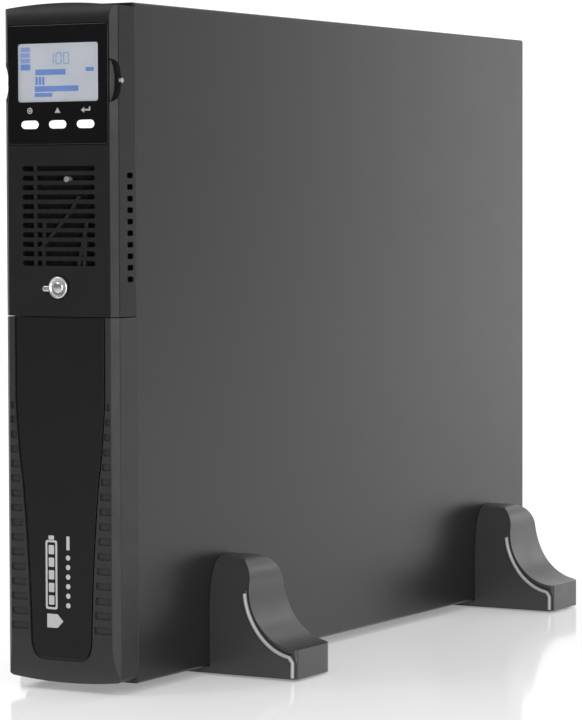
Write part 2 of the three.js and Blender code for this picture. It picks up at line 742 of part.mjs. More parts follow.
// four appliance outlets in one moulding, each a core with three slots inside a moat
function outletBlock() {
  const edge = outletPitch - 0.5;
  const flange = prism(roundedRect(-edge, edge, -edge, edge, 2), 'y', onPanel, onPanel + 2.5, 3);
  const housing = box(-31, 31, onPanel - 24, onPanel + 1, -31, 31);
  const cuts = [];
  for (const x of [-outletPitch / 2, outletPitch / 2]) {
    for (const z of [-outletPitch / 2, outletPitch / 2]) {
      const outer = coreOutline(x, z, 10.5, 13.4);
      const inner = coreOutline(x, z, 8, 11);
      cuts.push(prism(outer, 'y', onPanel - 14, onPanel + 3)
        .subtract(prism(inner, 'y', onPanel - 15, onPanel + 1.5)));
      for (const [dx, dz] of [[3, -7], [3, 7], [-3.5, 0]]) {
        cuts.push(box(x + dx - 1.2, x + dx + 1.2, onPanel - 12, onPanel + 3,
          z + dz - 2.6, z + dz + 2.6));
      }
    }
  }
  return cut(flange.add(housing), cuts);
}

// rectangle with two cut corners on one long side, as on a C13 connector
function coreOutline(x, z, halfX, halfZ) {
  const clip = 4.5;
  return outline([
    [x - halfX, z - halfZ + clip], [x - halfX + clip, z - halfZ], [x + halfX, z - halfZ],
    [x + halfX, z + halfZ], [x - halfX + clip, z + halfZ], [x - halfX, z + halfZ - clip],
  ]);
}

function breakerBody() {
  const profile = [
    [4.4, -22], [10, -22], [10, -sheet - 2 * gap], [5.9, -sheet - 2 * gap], [5.9, 0],
    [9, 0], [9, 2.4], [6.4, 3.2], [4.4, 3.2], [4.4, -22],
  ];
  return lathe(profile, 20, along(breakerAt.x, onPanel, breakerAt.z));
}

function breakerButton() {
  return lathe([
    [0, -20], [3.9, -20], [3.9, 6.2], [3.3, 7], [0, 7],
  ], 16, along(breakerAt.x, onPanel, breakerAt.z));
}

function serialPort() {
  const flange = prism(roundedRect(-6.2, 6.2, -15.4, 15.4, 1.5), 'y', onPanel, onPanel + 1.2, 3);
  const body = box(-5.5, 5.5, onPanel - 10, onPanel + 0.5, -10, 10);
  const shell = prism(outline([[-4.1, -8.6], [4.1, -7.2], [4.1, 7.2], [-4.1, 8.6]]),
    'y', onPanel, onPanel + 6);
  const pins = [];
  for (let index = 0; index < 5; index += 1) {
    pins.push(box(-2.1, -1.1, onPanel + 2, onPanel + 7, -6 + index * 2.8, -5 + index * 2.8));
  }
  for (let index = 0; index < 4; index += 1) {
    pins.push(box(1.1, 2.1, onPanel + 2, onPanel + 7, -4.6 + index * 2.8, -3.6 + index * 2.8));
  }
  return cut(flange.add(body).add(shell), pins);
}

function usbPort() {
  const shell = box(-6, 6, onPanel - 14, onPanel + 1.5, -5.6, 5.6);
  const mouth = box(-4.9, 4.9, onPanel - 9, onPanel + 3, -4.5, 4.5);
  const tongue = box(-2.8, 2.8, onPanel - 10, onPanel + 0.5, -1.6, 1.6);
  return cut(shell, [mouth]).add(tongue);
}

function terminalBlock() {
  const body = box(-5, 5, onPanel - 12, onPanel + 6, -10.5, 10.5);
  const cuts = [];
  for (let index = 0; index < 4; index += 1) {
    const z = -7.6 + index * 5.08;
    cuts.push(box(-3.6, -0.6, onPanel + 1, onPanel + 8, z - 1.5, z + 1.5));
    cuts.push(rod('y', 2.6, z, 1.4, onPanel + 3, onPanel + 8, 3));
  }
  return cut(body, cuts);
}

function slotCover() {
  const { x0, x1, z0, z1 } = slotCoverBox;
  const plate = prism(roundedRect(x0, x1, z0, z1, 1), 'y', onPanel, onPanel + sheet, 3);
  const lip = box(x1 - 9, x1 - 7.8, onPanel, onPanel + 6, z0 + 30, z1 - 30);
  return plate.add(lip);
}

function groundStud() {
  return lathe([
    [0, -12], [2.4, -12], [2.4, -0.01], [4.8, -0.01], [4.8, 4], [2.4, 4],
    [2.4, studTip - onPanel - 0.6], [1.9, studTip - onPanel], [0, studTip - onPanel],
  ], 12, along(studAt.x, onPanel, studAt.z));
}

function rearConnections() {
  const group = new THREE.Group();
  piece(group, 'power_inlet', powerInlet(), socketBlack, [inletAt.x, 0, inletAt.z]);
  for (const [name, z] of Object.entries(outletBlocks)) {
    piece(group, name, outletBlock(), socketBlack, [0, 0, z]);
  }
  piece(group, 'breaker_body', breakerBody(), socketBlack);
  piece(group, 'breaker_button', breakerButton(), keyWhite);
  piece(group, 'serial_port', serialPort(), connectorGrey, [serialAt.x, 0, serialAt.z]);
  piece(group, 'usb_port', usbPort(), zincSteel, [usbAt.x, 0, usbAt.z]);
  piece(group, 'terminal_block', terminalBlock(), connectorGreen, [terminalAt.x, 0, terminalAt.z]);
  piece(group, 'slot_cover', slotCover(), blackSteel);
  piece(group, 'ground_stud', groundStud(), zincSteel);
  return group;
}

// ---------------------------------------------------------------- feet
const footLow = -groundClearance + padThickness + 0.02;
const footWall = 2;
const panelDepth = 14;       // how deep the groove round the front panel goes
const panelTop = 57;
const panelInner = halfWidth + 4;

// front view of a right foot: flat base, upright at the case, one elliptic sweep to the toe
function footProfile(inset) {
  const sweep = { x: 39.5 + inset, z: 49 + inset, centreZ: 64.4 };
  const side = halfWidth + gap + inset;
  const top = footHeight - inset;
  const shape = new THREE.Shape();
  shape.moveTo(inset > 0 ? side : gap, footLow + inset);
  shape.lineTo(footReach - inset, footLow + inset);
  shape.lineTo(footReach - inset, sweep.centreZ - sweep.z);
  shape.absellipse(footReach, sweep.centreZ, sweep.x, sweep.z, 1.5 * Math.PI, Math.PI, true);
  shape.lineTo(footReach - sweep.x - 3, top);
  shape.lineTo(side, top);
  if (inset === 0) {
    shape.lineTo(side, -gap);
    shape.lineTo(gap, -gap);
  }
  return shape;
}

// the panel let into the foot's front, with its own tighter sweep
function panelProfile() {
  const round = 5;
  const shape = new THREE.Shape();
  shape.moveTo(panelInner, footLow);
  shape.lineTo(footReach - 1, footLow);
  shape.lineTo(footReach - 1, 10.5);
  shape.absellipse(footReach, 64, 44, 53.5, 1.5 * Math.PI, 1.04 * Math.PI, true);
  shape.lineTo(footReach - 44 - 2, panelTop);
  shape.lineTo(panelInner + round, panelTop);
  shape.absarc(panelInner + round, panelTop - round, round, Math.PI / 2, Math.PI);
  return shape;
}

function rightFoot() {
  const arch = prism(roundedRect(0, footWidth, footLow - 40, footHeight, 20), 'x', -5,
    footReach + 5, 4);
  const body = prism(footProfile(0), 'y', 0, footWidth, 5).intersect(arch);
  const recess = prism(footProfile(footWall), 'y', -5, panelDepth, 5)
    .intersect(arch.translate([0, footWall, -footWall]).add(box(0, 200, -10, footWall, -50, 45)));
  const panel = prism(panelProfile(), 'y', 0, panelDepth + 1, 5);
  return cut(body, [recess]).add(panel.intersect(body));
}

function pad() {
  return box(14, footReach - 8, 8, footWidth - 8, -groundClearance,
    -groundClearance + padThickness);
}

function feet() {
  const group = new THREE.Group();
  for (const [row, y] of Object.entries({ front: frontFootY, rear: rearFootY })) {
    const right = rightFoot();
    piece(group, `${row}_foot_right`, right, greyPlastic, [0, y, 0]);
    piece(group, `${row}_foot_left`, mirrored(right), greyPlastic, [0, y, 0]);
    piece(group, `${row}_pad_right`, pad(), rubberBlack, [0, y, 0]);
    piece(group, `${row}_pad_left`, mirrored(pad()), rubberBlack, [0, y, 0]);
  }
  return group;
}

// ---------------------------------------------------------------- the whole object
const ups = new THREE.Group();
ups.name = 'tower_ups';
ups.position.set(0, -originBehindFront, groundClearance);
ups.add(steelCase(), mouldedFront(), displayModule(), trayAssembly(), electronics());
ups.add(fan(), rearConnections(), feet());

export default ups;
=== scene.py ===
"""Visual model of an uninterruptible power supply on its four feet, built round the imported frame.

Shapes are drawn in the case frame, in millimetres: x = 0 on the centre plane, y = 0 on the front
edge of the steel case and z = 0 on its underside. TO_ROW takes them to the row frame, in metres.
"""

import math

import bmesh
import bpy
from mathutils import Matrix, Vector


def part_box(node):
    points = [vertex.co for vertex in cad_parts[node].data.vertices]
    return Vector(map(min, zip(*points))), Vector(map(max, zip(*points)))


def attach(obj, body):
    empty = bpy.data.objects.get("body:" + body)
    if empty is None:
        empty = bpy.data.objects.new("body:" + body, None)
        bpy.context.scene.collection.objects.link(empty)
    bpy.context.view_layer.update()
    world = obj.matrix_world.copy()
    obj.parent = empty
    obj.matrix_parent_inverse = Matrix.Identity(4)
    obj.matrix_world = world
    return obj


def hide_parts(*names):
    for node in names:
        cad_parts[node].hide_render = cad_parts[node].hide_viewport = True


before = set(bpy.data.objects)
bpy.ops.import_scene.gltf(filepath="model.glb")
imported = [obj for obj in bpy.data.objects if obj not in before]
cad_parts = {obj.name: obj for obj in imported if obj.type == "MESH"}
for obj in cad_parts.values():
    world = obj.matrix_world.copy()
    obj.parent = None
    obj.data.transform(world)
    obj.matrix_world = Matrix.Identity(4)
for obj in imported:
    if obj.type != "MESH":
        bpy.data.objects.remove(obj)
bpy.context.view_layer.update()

# ---------------------------------------------------------------- driving dimensions, millimetres
case_low, case_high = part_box("outer_cover")
ORIGIN = Vector(((case_low.x + case_high.x) / 2, case_low.y, case_low.z))
TO_ROW = Matrix.Translation(ORIGIN) @ Matrix.Scale(0.001, 4)
HALF = (case_high.x - case_low.x) * 500
HEIGHT = (case_high.z - case_low.z) * 1000
DEPTH = (case_high.y - case_low.y) * 1000
SHEET = 1.2
GAP = 0.3
BEZEL = 24.3            # depth of the moulded front
WALL = 2.5              # of the upper bezel
CORNER = 4.5            # leg of the front's flat 45 degree corners
ARCH = 3.0              # rise of the bowed edges at the top and the bottom of the front
SEAM = 238.0            # height of the joint between bezel and battery cover
DISPLAY_Z = 387.5
DISPLAY_FRONT = -24.7
MODULE_HALF = 38.5
KEY_PITCH = 21.4
KEY_Z = DISPLAY_Z - 25.6
WINDOW_HALF = 31.0
WINDOW_LOW = DISPLAY_Z - 11
WINDOW_HIGH = DISPLAY_Z + 26.5
BADGE_Z = 257.0
LENS_X, LENS_Z = 6.0, 326.6
GROUND = 6.0            # the case's height over the floor
REAR = 578.4            # the rear panel's outer face
ON_PANEL = 578.7        # where the parts on the rear panel start
FAN_Z = 392.0
PORT_X = 22.0           # the column of small ports on the rear
SERIAL_Z, USB_Z, TERMINAL_Z, EARTH_Z = 318.0, 284.0, 248.0, 18.0
SIDE_X = -20.0          # the column of the inlet and the card slot
INLET_Z = 36.0
OUTLET_BLOCKS = (103.0, 173.0)
CONTACT_X = 7.6         # half the pitch of the battery connector's contacts
SHARP = 32.0            # edges sharper than this many degrees are rounded or kept sharp
ARCH_RADIUS = (HALF * HALF + ARCH * ARCH) / (2 * ARCH)
ARCH_ANGLE = math.degrees(math.asin(HALF / ARCH_RADIUS))

CAMERA_AT = (1138.0, -1732.3, 311.5)

# ---------------------------------------------------------------- light levels
DIM = 0.14          # in front of the object
BEHIND = 0.95       # the bright wall behind it
ABOVE = 0.75        # added overhead
GLOW = 0.46         # of the floor
WHITE = 1.15        # what the camera sees beyond the floor
REAR_POWER = 4.0
SIDE_POWER = 30.0
KEY_POWER = 14.0


# ---------------------------------------------------------------- outlines, counterclockwise (u, v)
def arc(u, v, radius, start, end, steps=8):
    """Points along an arc from one angle to another, in degrees."""
    return oval(u, v, radius, radius, start, end, steps)


def oval(u, v, half_u, half_v, start=0, end=360, steps=48):
    """Points along an ellipse; a whole one leaves its last point out."""
    count = steps if end - start == 360 else steps + 1
    angles = [math.radians(start + (end - start) * k / steps) for k in range(count)]
    return [(u + half_u * math.cos(a), v + half_v * math.sin(a)) for a in angles]


def curve(a, b, c, steps=16):
    """Points along a quadratic curve, without its first point."""
    found = []
    for k in range(1, steps + 1):
        t = k / steps
        found.append(tuple((1 - t) ** 2 * a[i] + 2 * t * (1 - t) * b[i] + t * t * c[i]
                           for i in (0, 1)))
    return found


def round_box(u0, u1, v0, v1, radius, steps=6):
    r = radius
    return (arc(u1 - r, v0 + r, r, -90, 0, steps) + arc(u1 - r, v1 - r, r, 0, 90, steps)
            + arc(u0 + r, v1 - r, r, 90, 180, steps) + arc(u0 + r, v0 + r, r, 180, 270, steps))


def pill(u, v, width, height, steps=8):
    half = height / 2
    return round_box(u - width / 2, u + width / 2, v - half, v + half, half - 0.01, steps)


def shrink(points, distance):
    """The outline moved inwards by a distance, corner by corner."""
    if not distance:
        return list(points)
    found = []
    for k, (u, v) in enumerate(points):
        before, after = points[k - 1], points[(k + 1) % len(points)]
        a = Vector((u - before[0], v - before[1])).normalized()
        b = Vector((after[0] - u, after[1] - v)).normalized()
        bisector = Vector((-a.y - b.y, a.x + b.x))
        if bisector.length < 1e-6:
            bisector = Vector((-a.y, a.x))
        bisector.normalize()
        reach = distance / max(bisector.dot(Vector((-a.y, a.x))), 0.35)
        found.append((u + bisector.x * reach, v + bisector.y * reach))
    return found


def tidy(points, nearest=0.02):
    """The outline without repeated points."""
    found = []
    for p in points:
        if not found or math.dist(p, found[-1]) > nearest:
            found.append(p)
    return found[:-1] if math.dist(found[0], found[-1]) <= nearest else found


# ---------------------------------------------------------------- solids, as mesh data
PLACE = {
    "x": lambda u, v, w: (w, u, v),
    "y": lambda u, v, w: (u, w, v),
    "z": lambda u, v, w: (u, v, w),
}


def closed(points, faces):
    """Mesh data from points and faces, its faces turned outwards."""
    work = bmesh.new()
    made = [work.verts.new(p) for p in points]
    for face in faces:
        work.faces.new([made[k] for k in face])
    bmesh.ops.recalc_face_normals(work, faces=work.faces)
    mesh = bpy.data.meshes.new("solid")
    work.to_mesh(mesh)
    work.free()
    return mesh


def stack(rings, loop=False):
    """A closed solid through rings with the same count of points; a looped one has no ends."""
    count, faces = len(rings[0]), []
    for level in range(len(rings) if loop else len(rings) - 1):
        low, high = level * count, (level + 1) % len(rings) * count
        for k in range(count):
            after = (k + 1) % count
            faces.append((low + k, low + after, high + after, high + k))
    if not loop:
        faces.append(tuple(range(count)))
        faces.append(tuple(range((len(rings) - 1) * count, len(rings) * count)))
    return closed([p for ring in rings for p in ring], faces)


def extrude(points, axis, low, high, round_low=0.0, round_high=0.0, steps=3):
    """The outline drawn along an axis, its ends rounded over."""
    outline, put = tidy(points), PLACE[axis]
    levels = []
    for k in range(steps + 1 if round_low else 1):
        turn = math.pi / 2 * k / steps if round_low else math.pi / 2
        levels.append((round_low * (1 - math.sin(turn)), low + round_low * (1 - math.cos(turn))))
    for k in range(steps + 1 if round_high else 1):
        turn = math.pi / 2 * (1 - k / steps) if round_high else math.pi / 2
        levels.append((round_high * (1 - math.sin(turn)), high - round_high * (1 - math.cos(turn))))
    return stack([[put(u, v, w) for u, v in shrink(outline, inset)] for inset, w in levels])


def block(x0, x1, y0, y1, z0, z1, radius=0.0):
    if radius:
        return extrude(round_box(x0, x1, z0, z1, radius, 4), "y", y0, y1, radius * 0.8, radius * 0.8)
    return extrude([(x0, z0), (x1, z0), (x1, z1), (x0, z1)], "y", y0, y1)


def rod(axis, u, v, radius, low, high, steps=28):
    return extrude(oval(u, v, radius, radius, steps=steps), axis, low, high)


def turned(profile, centre=(0, 0, 0), axis="y", steps=36):
    """A solid of revolution: profile is (radius, height), and both ends lie on the axis."""
    x, y, z = centre
    u0, v0, w0 = {"x": (y, z, x), "y": (x, z, y), "z": (x, y, z)}[axis]
    put = PLACE[axis]
    points, faces, rings = [], [], []
    for radius, height in profile:
        if radius < 1e-6:
            rings.append([len(points)])
            points.append(put(u0, v0, w0 + height))
            continue
        rings.append(list(range(len(points), len(points) + steps)))
        points += [put(u, v, w0 + height) for u, v in oval(u0, v0, radius, radius, steps=steps)]
    for low, high in zip(rings, rings[1:]):
        for k in range(steps):
            a, b = low[k % len(low)], low[(k + 1) % len(low)]
            c, d = high[(k + 1) % len(high)], high[k % len(high)]
            face = tuple(dict.fromkeys((a, b, c, d)))
            if len(face) > 2:
                faces.append(face)
    return closed(points, faces)


def smooth_path(points, steps=8):
    """Points along a Catmull-Rom curve through the given ones."""
    nodes = [Vector(p) for p in points]
    nodes = [2 * nodes[0] - nodes[1]] + nodes + [2 * nodes[-1] - nodes[-2]]
    found = []
    for k in range(1, len(nodes) - 2):
        a, b, c, d = nodes[k - 1:k + 3]
        for step in range(steps):
            t = step / steps
            found.append(0.5 * (2 * b + (c - a) * t + (2 * a - 5 * b + 4 * c - d) * t * t
                                + (3 * b - a - 3 * c + d) * t ** 3))
    return found + [nodes[-2]]


def tube(path, radius, sides=16, loop=False):
    """A round bar along a path; a looped one joins up with its start."""
    path = [Vector(p) for p in path]
    count = len(path)
    rings, side = [], None
    for k, point in enumerate(path):
        after = path[(k + 1) % count] if loop else path[min(k + 1, count - 1)]
        before = path[k - 1] if loop else path[max(k - 1, 0)]
        ahead = (after - before).normalized()
        start = side if side else ahead.orthogonal()
        side = (start - ahead * start.dot(ahead)).normalized()
        other = ahead.cross(side)
        rings.append([point + radius * (side * math.cos(a) + other * math.sin(a))
                      for a in (2 * math.pi * s / sides for s in range(sides))])
    return stack(rings, loop)


def moved(mesh, x=0.0, y=0.0, z=0.0, turn=0.0, axis="Y"):
    """The mesh turned about an axis through the origin, in degrees, and then moved."""
    mesh.transform(Matrix.Translation((x, y, z)) @ Matrix.Rotation(math.radians(turn), 4, axis))
    return mesh


def mirrored(mesh, axis=(1, 0, 0)):
    mesh.transform(Matrix.Scale(-1, 4, axis))
    mesh.flip_normals()
    return mesh


def together(meshes):
    """Several meshes as one, side by side."""
    work = bmesh.new()
    for mesh in meshes:
        work.from_mesh(mesh)
    whole = bpy.data.meshes.new("solid")
    work.to_mesh(whole)
    work.free()
    return whole


def combine(base, tools, operation):
    """The exact difference, union or intersection of closed meshes, one tool after another."""
    for tool in tools:
        pair = [bpy.data.objects.new("solid", mesh) for mesh in (base, tool)]
        for each in pair:
            bpy.context.scene.collection.objects.link(each)
        modifier = pair[0].modifiers.new("combine", "BOOLEAN")
        modifier.object, modifier.operation, modifier.solver = pair[1], operation, "MANIFOLD"
        bpy.context.view_layer.update()
        shown = pair[0].evaluated_get(bpy.context.evaluated_depsgraph_get())
        base = bpy.data.meshes.new_from_object(shown)
        for each in pair:
            bpy.data.objects.remove(each)
        if not base.polygons:
            raise RuntimeError("a combined solid came out empty")
    return base


def cut(base, *tools):
    return combine(base, tools, "DIFFERENCE")


def common(base, *tools):
    return combine(base, tools, "INTERSECT")


def union(base, *tools):
    return combine(base, tools, "UNION")


# ---------------------------------------------------------------- materials
class Graph:
    """The node tree of a material or a world, built a node at a time."""

    def __init__(self, name, world=None):
        self.owner = world or bpy.data.materials.new(name)
        self.owner.use_nodes = True
        self.tree = self.owner.node_tree
        self.tree.nodes.clear()

    def add(self, kind, inputs=(), **settings):
        node = self.tree.nodes.new("ShaderNode" + kind)
        for key, value in settings.items():
            setattr(node, key, value)
        for key, value in dict(inputs).items():
            if isinstance(value, bpy.types.NodeSocket):
                self.tree.links.new(value, node.inputs[key])
            else:
                node.inputs[key].default_value = value
        return node

    def place(self, stretch=(1.0, 1.0, 1.0)):
        """Where a point is on the object, stretched along each axis."""
        where = self.add("TexCoord").outputs["Object"]
        return self.add("Mapping", {"Vector": where, "Scale": stretch}).outputs["Vector"]

    def noise(self, scale, detail=2.0, stretch=(1.0, 1.0, 1.0)):
        inputs = {"Vector": self.place(stretch), "Scale": scale, "Detail": detail}
        return self.add("TexNoise", inputs).outputs["Fac"]

    def cells(self, scale, feature="F1", output="Distance"):
        inputs = {"Vector": self.place(), "Scale": scale}
        return self.add("TexVoronoi", inputs, feature=feature).outputs[output]

    def bands(self, scale, direction, distortion=0.0):
        inputs = {"Vector": self.place(), "Scale": scale, "Distortion": distortion}
        return self.add("TexWave", inputs, bands_direction=direction).outputs["Fac"]

    def spread(self, value, low, high, start=0.0, end=1.0):
        """A value taken from start..end to low..high."""
        inputs = {"Value": value, "From Min": start, "From Max": end, "To Min": low, "To Max": high}
        return self.add("MapRange", inputs).outputs["Result"]

    def tint(self, value, low, high):
        """The colour between two colours at a value."""
        ramp = self.add("ValToRGB", {"Fac": value})
        ramp.color_ramp.elements[0].color = (*low, 1)
        ramp.color_ramp.elements[1].color = (*high, 1)
        return ramp.outputs["Color"]

    def sum(self, a, b, operation="ADD"):
        return self.add("Math", {0: a, 1: b}, operation=operation).outputs[0]

    def bump(self, height, depth, strength=1.0):
        inputs = {"Height": height, "Distance": depth, "Strength": strength}
        return self.add("Bump", inputs).outputs["Normal"]

    def blend(self, share, first, second):
        """Two shaders mixed, by the second one's share."""
        return self.add("MixShader", {"Fac": share, 1: first, 2: second}).outputs[0]

    def close(self, shader):
        self.add("OutputMaterial", {"Surface": shader})
        return self.owner

    def surface(self, **inputs):
        """The finished material, from the inputs of one Principled shader."""
        named = {key.replace("_", " "): value for key, value in inputs.items()}
        return self.close(self.add("BsdfPrincipled", named).outputs[0])


def scaled(colour, amount):
    return tuple(c * amount for c in colour)


def moulded(name, colour, rough, grain=1100.0, depth=0.00004, vary=0.12, specular=0.5, uneven=0.1):
    """Moulded or painted: fine grain in the surface, uneven gloss, and slow shifts of colour."""
    g = Graph(name)
    blotch, speck = g.noise(9.0, 3.0), g.noise(grain * 0.6, 1.0)
    mixed = g.sum(g.sum(blotch, 0.7, "MULTIPLY"), g.sum(speck, 0.3, "MULTIPLY"))
    even = g.spread(mixed, 0, 1, 0.3, 0.7)
    gloss = g.spread(g.noise(55.0, 4.0), rough * (1 - uneven), rough * (1 + uneven), 0.3, 0.7)
    return g.surface(Base_Color=g.tint(even, scaled(colour, 1 - vary), scaled(colour, 1 + vary)),
                     Roughness=gloss, Specular_IOR_Level=specular,
                     Normal=g.bump(g.noise(grain, 2.0), depth))


def metal(name, colour, rough, pattern="rolled", depth=0.00002, vary=0.1):
    """Bare metal: rolled and plated, brushed along the case, or with zinc spangles."""
    g = Graph(name)
    if pattern == "spangle":
        fine = g.cells(160.0, output="Color")
    elif pattern == "brushed":
        fine = g.noise(420.0, 3.0, (1.0, 0.03, 1.0))
    else:
        fine = g.noise(240.0, 4.0)
    return g.surface(Base_Color=g.tint(fine, scaled(colour, 1 - vary), scaled(colour, 1 + vary * 0.6)),
                     Roughness=g.spread(fine, rough * 0.75, rough * 1.3, 0.2, 0.8), Metallic=1.0,
                     Normal=g.bump(g.noise(700.0, 3.0), depth))


def piano_black():
    """High-gloss black plastic with faint smudges."""
    g = Graph("gloss_black")
    smudge = g.noise(38.0, 5.0)
    return g.surface(Base_Color=g.tint(smudge, (0.0035, 0.0035, 0.004), (0.006, 0.006, 0.0068)),
                     Roughness=g.spread(smudge, 0.05, 0.16, 0.35, 0.75), Specular_IOR_Level=0.3,
                     Normal=g.bump(g.noise(60.0, 2.0), 0.00001))


def clear_plastic():
    """A thin clear pane: what is behind shows through, with a light gloss."""
    g = Graph("clear_pane")
    smudge = g.spread(g.noise(45.0, 4.0), 0.04, 0.12, 0.3, 0.7)
    gloss = g.add("BsdfGlossy", {"Color": (1, 1, 1, 1), "Roughness": smudge})
    clear = g.add("BsdfTransparent", {"Color": (0.93, 0.94, 0.95, 1)})
    share = g.add("Fresnel", {"IOR": 1.42})
    return g.close(g.blend(share.outputs[0], clear.outputs[0], gloss.outputs[0]))


def lit(name, low, high, glow, grid=0.0, rough=0.4):
    """A surface that glows: the backlit display's ground and marks and the status lens, and white parts
    whose glow is painted light.
    """
    g = Graph(name)
    shade = g.noise(70.0, 2.0)
    if grid:
        lines = g.sum(g.bands(grid, "Z"), g.bands(grid, "X"))
        shade = g.sum(g.sum(shade, 0.6, "MULTIPLY"), g.sum(lines, 0.2, "MULTIPLY"))
    colours = g.tint(g.spread(shade, 0, 1, 0.25, 0.75), low, high)
    return g.surface(Base_Color=colours, Roughness=rough, Emission_Color=colours,
                     Emission_Strength=glow)


def circuit_board():
    """Green solder mask over copper: blocky traces, with small plated pads."""
    g = Graph("circuit_board")
    traces = g.spread(g.cells(170.0, "DISTANCE_TO_EDGE"), 0, 1, 0.03, 0.06)
    pads = g.spread(g.cells(95.0), 1, 0, 0.12, 0.16)
    mask = g.tint(traces, (0.022, 0.10, 0.05), (0.010, 0.052, 0.026))
    mixed = g.add("Mix", {"Factor": pads}, data_type="RGBA")
    g.tree.links.new(mask, mixed.inputs["A"])
    mixed.inputs["B"].default_value = (0.52, 0.50, 0.42, 1)
    return g.surface(Base_Color=mixed.outputs["Result"], Metallic=g.spread(pads, 0.0, 0.9),
                     Roughness=g.spread(traces, 0.3, 0.45), Normal=g.bump(traces, 0.00005))


def wound_copper():
    """Enamelled wire wound round a core: fine ridges, darker between turns as painted shade in the
    grooves. fine ridges with a dark line between turns.
    """
    g = Graph("wound_copper")
    turns = g.bands(150.0, "DIAGONAL", 1.2)
    # The colour is darker where the bump is low: painted shade in the grooves between turns.
    return g.surface(Base_Color=g.tint(turns, (0.16, 0.05, 0.018), (0.62, 0.24, 0.09)),
                     Metallic=0.85, Roughness=g.spread(turns, 0.5, 0.24),
                     Normal=g.bump(turns, 0.0004))


def foamed(name, colour, scale=260.0):
    """Closed-cell foam or rubber: small pores, darker inside as painted shade, and no gloss."""
    g = Graph(name)
    pores = g.cells(scale)
    # The colour is darker at the bottom of each pore, where the bump is low: painted shade in the pits.
    return g.surface(Base_Color=g.tint(pores, scaled(colour, 0.6), scaled(colour, 1.15)),
                     Roughness=g.spread(pores, 0.96, 0.78), Specular_IOR_Level=0.3,
                     Normal=g.bump(pores, 0.0004))


# Each one's colour, roughness, grain, grain depth, shift of colour, specular level and shift of gloss.
MOULDED = {
    "case_steel": ((0.013, 0.0131, 0.0135), 0.32, 1500.0, 0.00002, 0.03, 0.42, 0.03),
    "bezel_plastic": ((0.0075, 0.0076, 0.0079), 0.42, 1700.0, 0.00004, 0.08, 0.25),
    "cover_plastic": ((0.024, 0.024, 0.0245), 0.45, 1700.0, 0.00004, 0.07, 0.26),
    "inset_plastic": ((0.0058, 0.0059, 0.0062), 0.36, 2200.0, 0.00002, 0.1, 0.22),
    "print_white": ((0.46, 0.46, 0.45), 0.5, 2500.0, 0.00001, 0.06),
    "print_grey": ((0.36, 0.37, 0.36), 0.5, 2500.0, 0.00001, 0.06),
    "battery_case": ((0.028, 0.029, 0.031), 0.52, 900.0, 0.00008, 0.12),
    "ferrite": ((0.040, 0.040, 0.043), 0.62, 700.0, 0.0001, 0.2),
    "can_sleeve": ((0.012, 0.016, 0.028), 0.28, 400.0, 0.00003, 0.15),
    "socket_black": ((0.012, 0.012, 0.013), 0.38, 1200.0, 0.00003, 0.12),
    "terminal_green": ((0.028, 0.26, 0.09), 0.4, 1200.0, 0.00003, 0.12),
    "connector_red": ((0.42, 0.022, 0.014), 0.42, 1200.0, 0.00003, 0.12),
    "foot_plastic": ((0.042, 0.042, 0.043), 0.34, 1700.0, 0.00003, 0.07, 0.55),
    # Light grey trim on the feet whose pale tone is partly a painted highlight along the foot's edge.
    "bead_grey_painted_highlight": ((0.42, 0.42, 0.425), 0.34, 1500.0, 0.00002, 0.05, 0.5),
    # Light grey catch whose pale tone is partly a painted glint at the finger notch.
    "catch_grey_painted_glint": ((0.30, 0.30, 0.30), 0.3, 1500.0, 0.00002, 0.05, 0.5),
    "skirt_grey": ((0.07, 0.07, 0.071), 0.5, 1500.0, 0.00002, 0.06, 0.4),
    "lead_rubber": ((0.010, 0.010, 0.011), 0.6, 900.0, 0.00006, 0.15),
}
M = {name: moulded(name, *values) for name, values in MOULDED.items()}
M.update({
    "inner_steel": metal("inner_steel", (0.56, 0.57, 0.58), 0.34, "spangle"),
    "module_gloss": piano_black(),
    "window_clear": clear_plastic(),
    "screen": lit("screen_ground", (0.51, 0.52, 0.565), (0.60, 0.61, 0.635), 0.66, 520.0, 0.5),
    "screen_mark": lit("screen_mark", (0.13, 0.24, 0.55), (0.20, 0.31, 0.61), 0.64, 520.0, 0.5),
    "screen_pale": lit("screen_pale", (0.24, 0.33, 0.58), (0.31, 0.40, 0.63), 0.64, 520.0, 0.5),
    # White plastic with a painted glow: emission makes the keys, the USB tongue and the breaker button
    # glow though no lamp is in them.
    "key_white": lit("key_white", (0.80, 0.80, 0.78), (0.86, 0.86, 0.85), 0.85),
    "badge_chrome": metal("badge_chrome", (0.60, 0.60, 0.61), 0.3, vary=0.03),
    "lens": lit("lens", (0.13, 0.14, 0.13), (0.18, 0.19, 0.18), 0.12),
    "board_green": circuit_board(),
    "sink_aluminium": metal("sink_aluminium", (0.70, 0.71, 0.72), 0.32, "brushed"),
    "winding_copper": wound_copper(),
    "foam": foamed("foam", (0.10, 0.105, 0.11)),
    # Very dark foam: the filter's tone is partly painted shade seen through the grille and the vents.
    "filter_foam_painted_shade": foamed("filter_foam_painted_shade", (0.010, 0.010, 0.0105), 420.0),
    "pad_rubber": foamed("pad_rubber", (0.014, 0.014, 0.0145), 700.0),
    "brass": metal("brass", (0.80, 0.62, 0.30), 0.28, vary=0.06),
    "plated": metal("plated", (0.72, 0.72, 0.73), 0.26, vary=0.06),
    "screw_black": metal("screw_black", (0.05, 0.05, 0.053), 0.36, vary=0.15),
})


# ---------------------------------------------------------------- putting pieces in the scene
def edged(obj, width, segments=2):
    """Rounds the object's sharp edges by a width in millimetres, and evens its shading."""
    if width:
        bevel = obj.modifiers.new("edges", "BEVEL")
        bevel.width, bevel.segments = width / 1000, segments
        bevel.limit_method, bevel.angle_limit = "ANGLE", math.radians(SHARP)
        bevel.use_clamp_overlap = True
        bevel.miter_outer = "MITER_ARC"
    obj.modifiers.new("shading", "WEIGHTED_NORMAL").keep_sharp = True


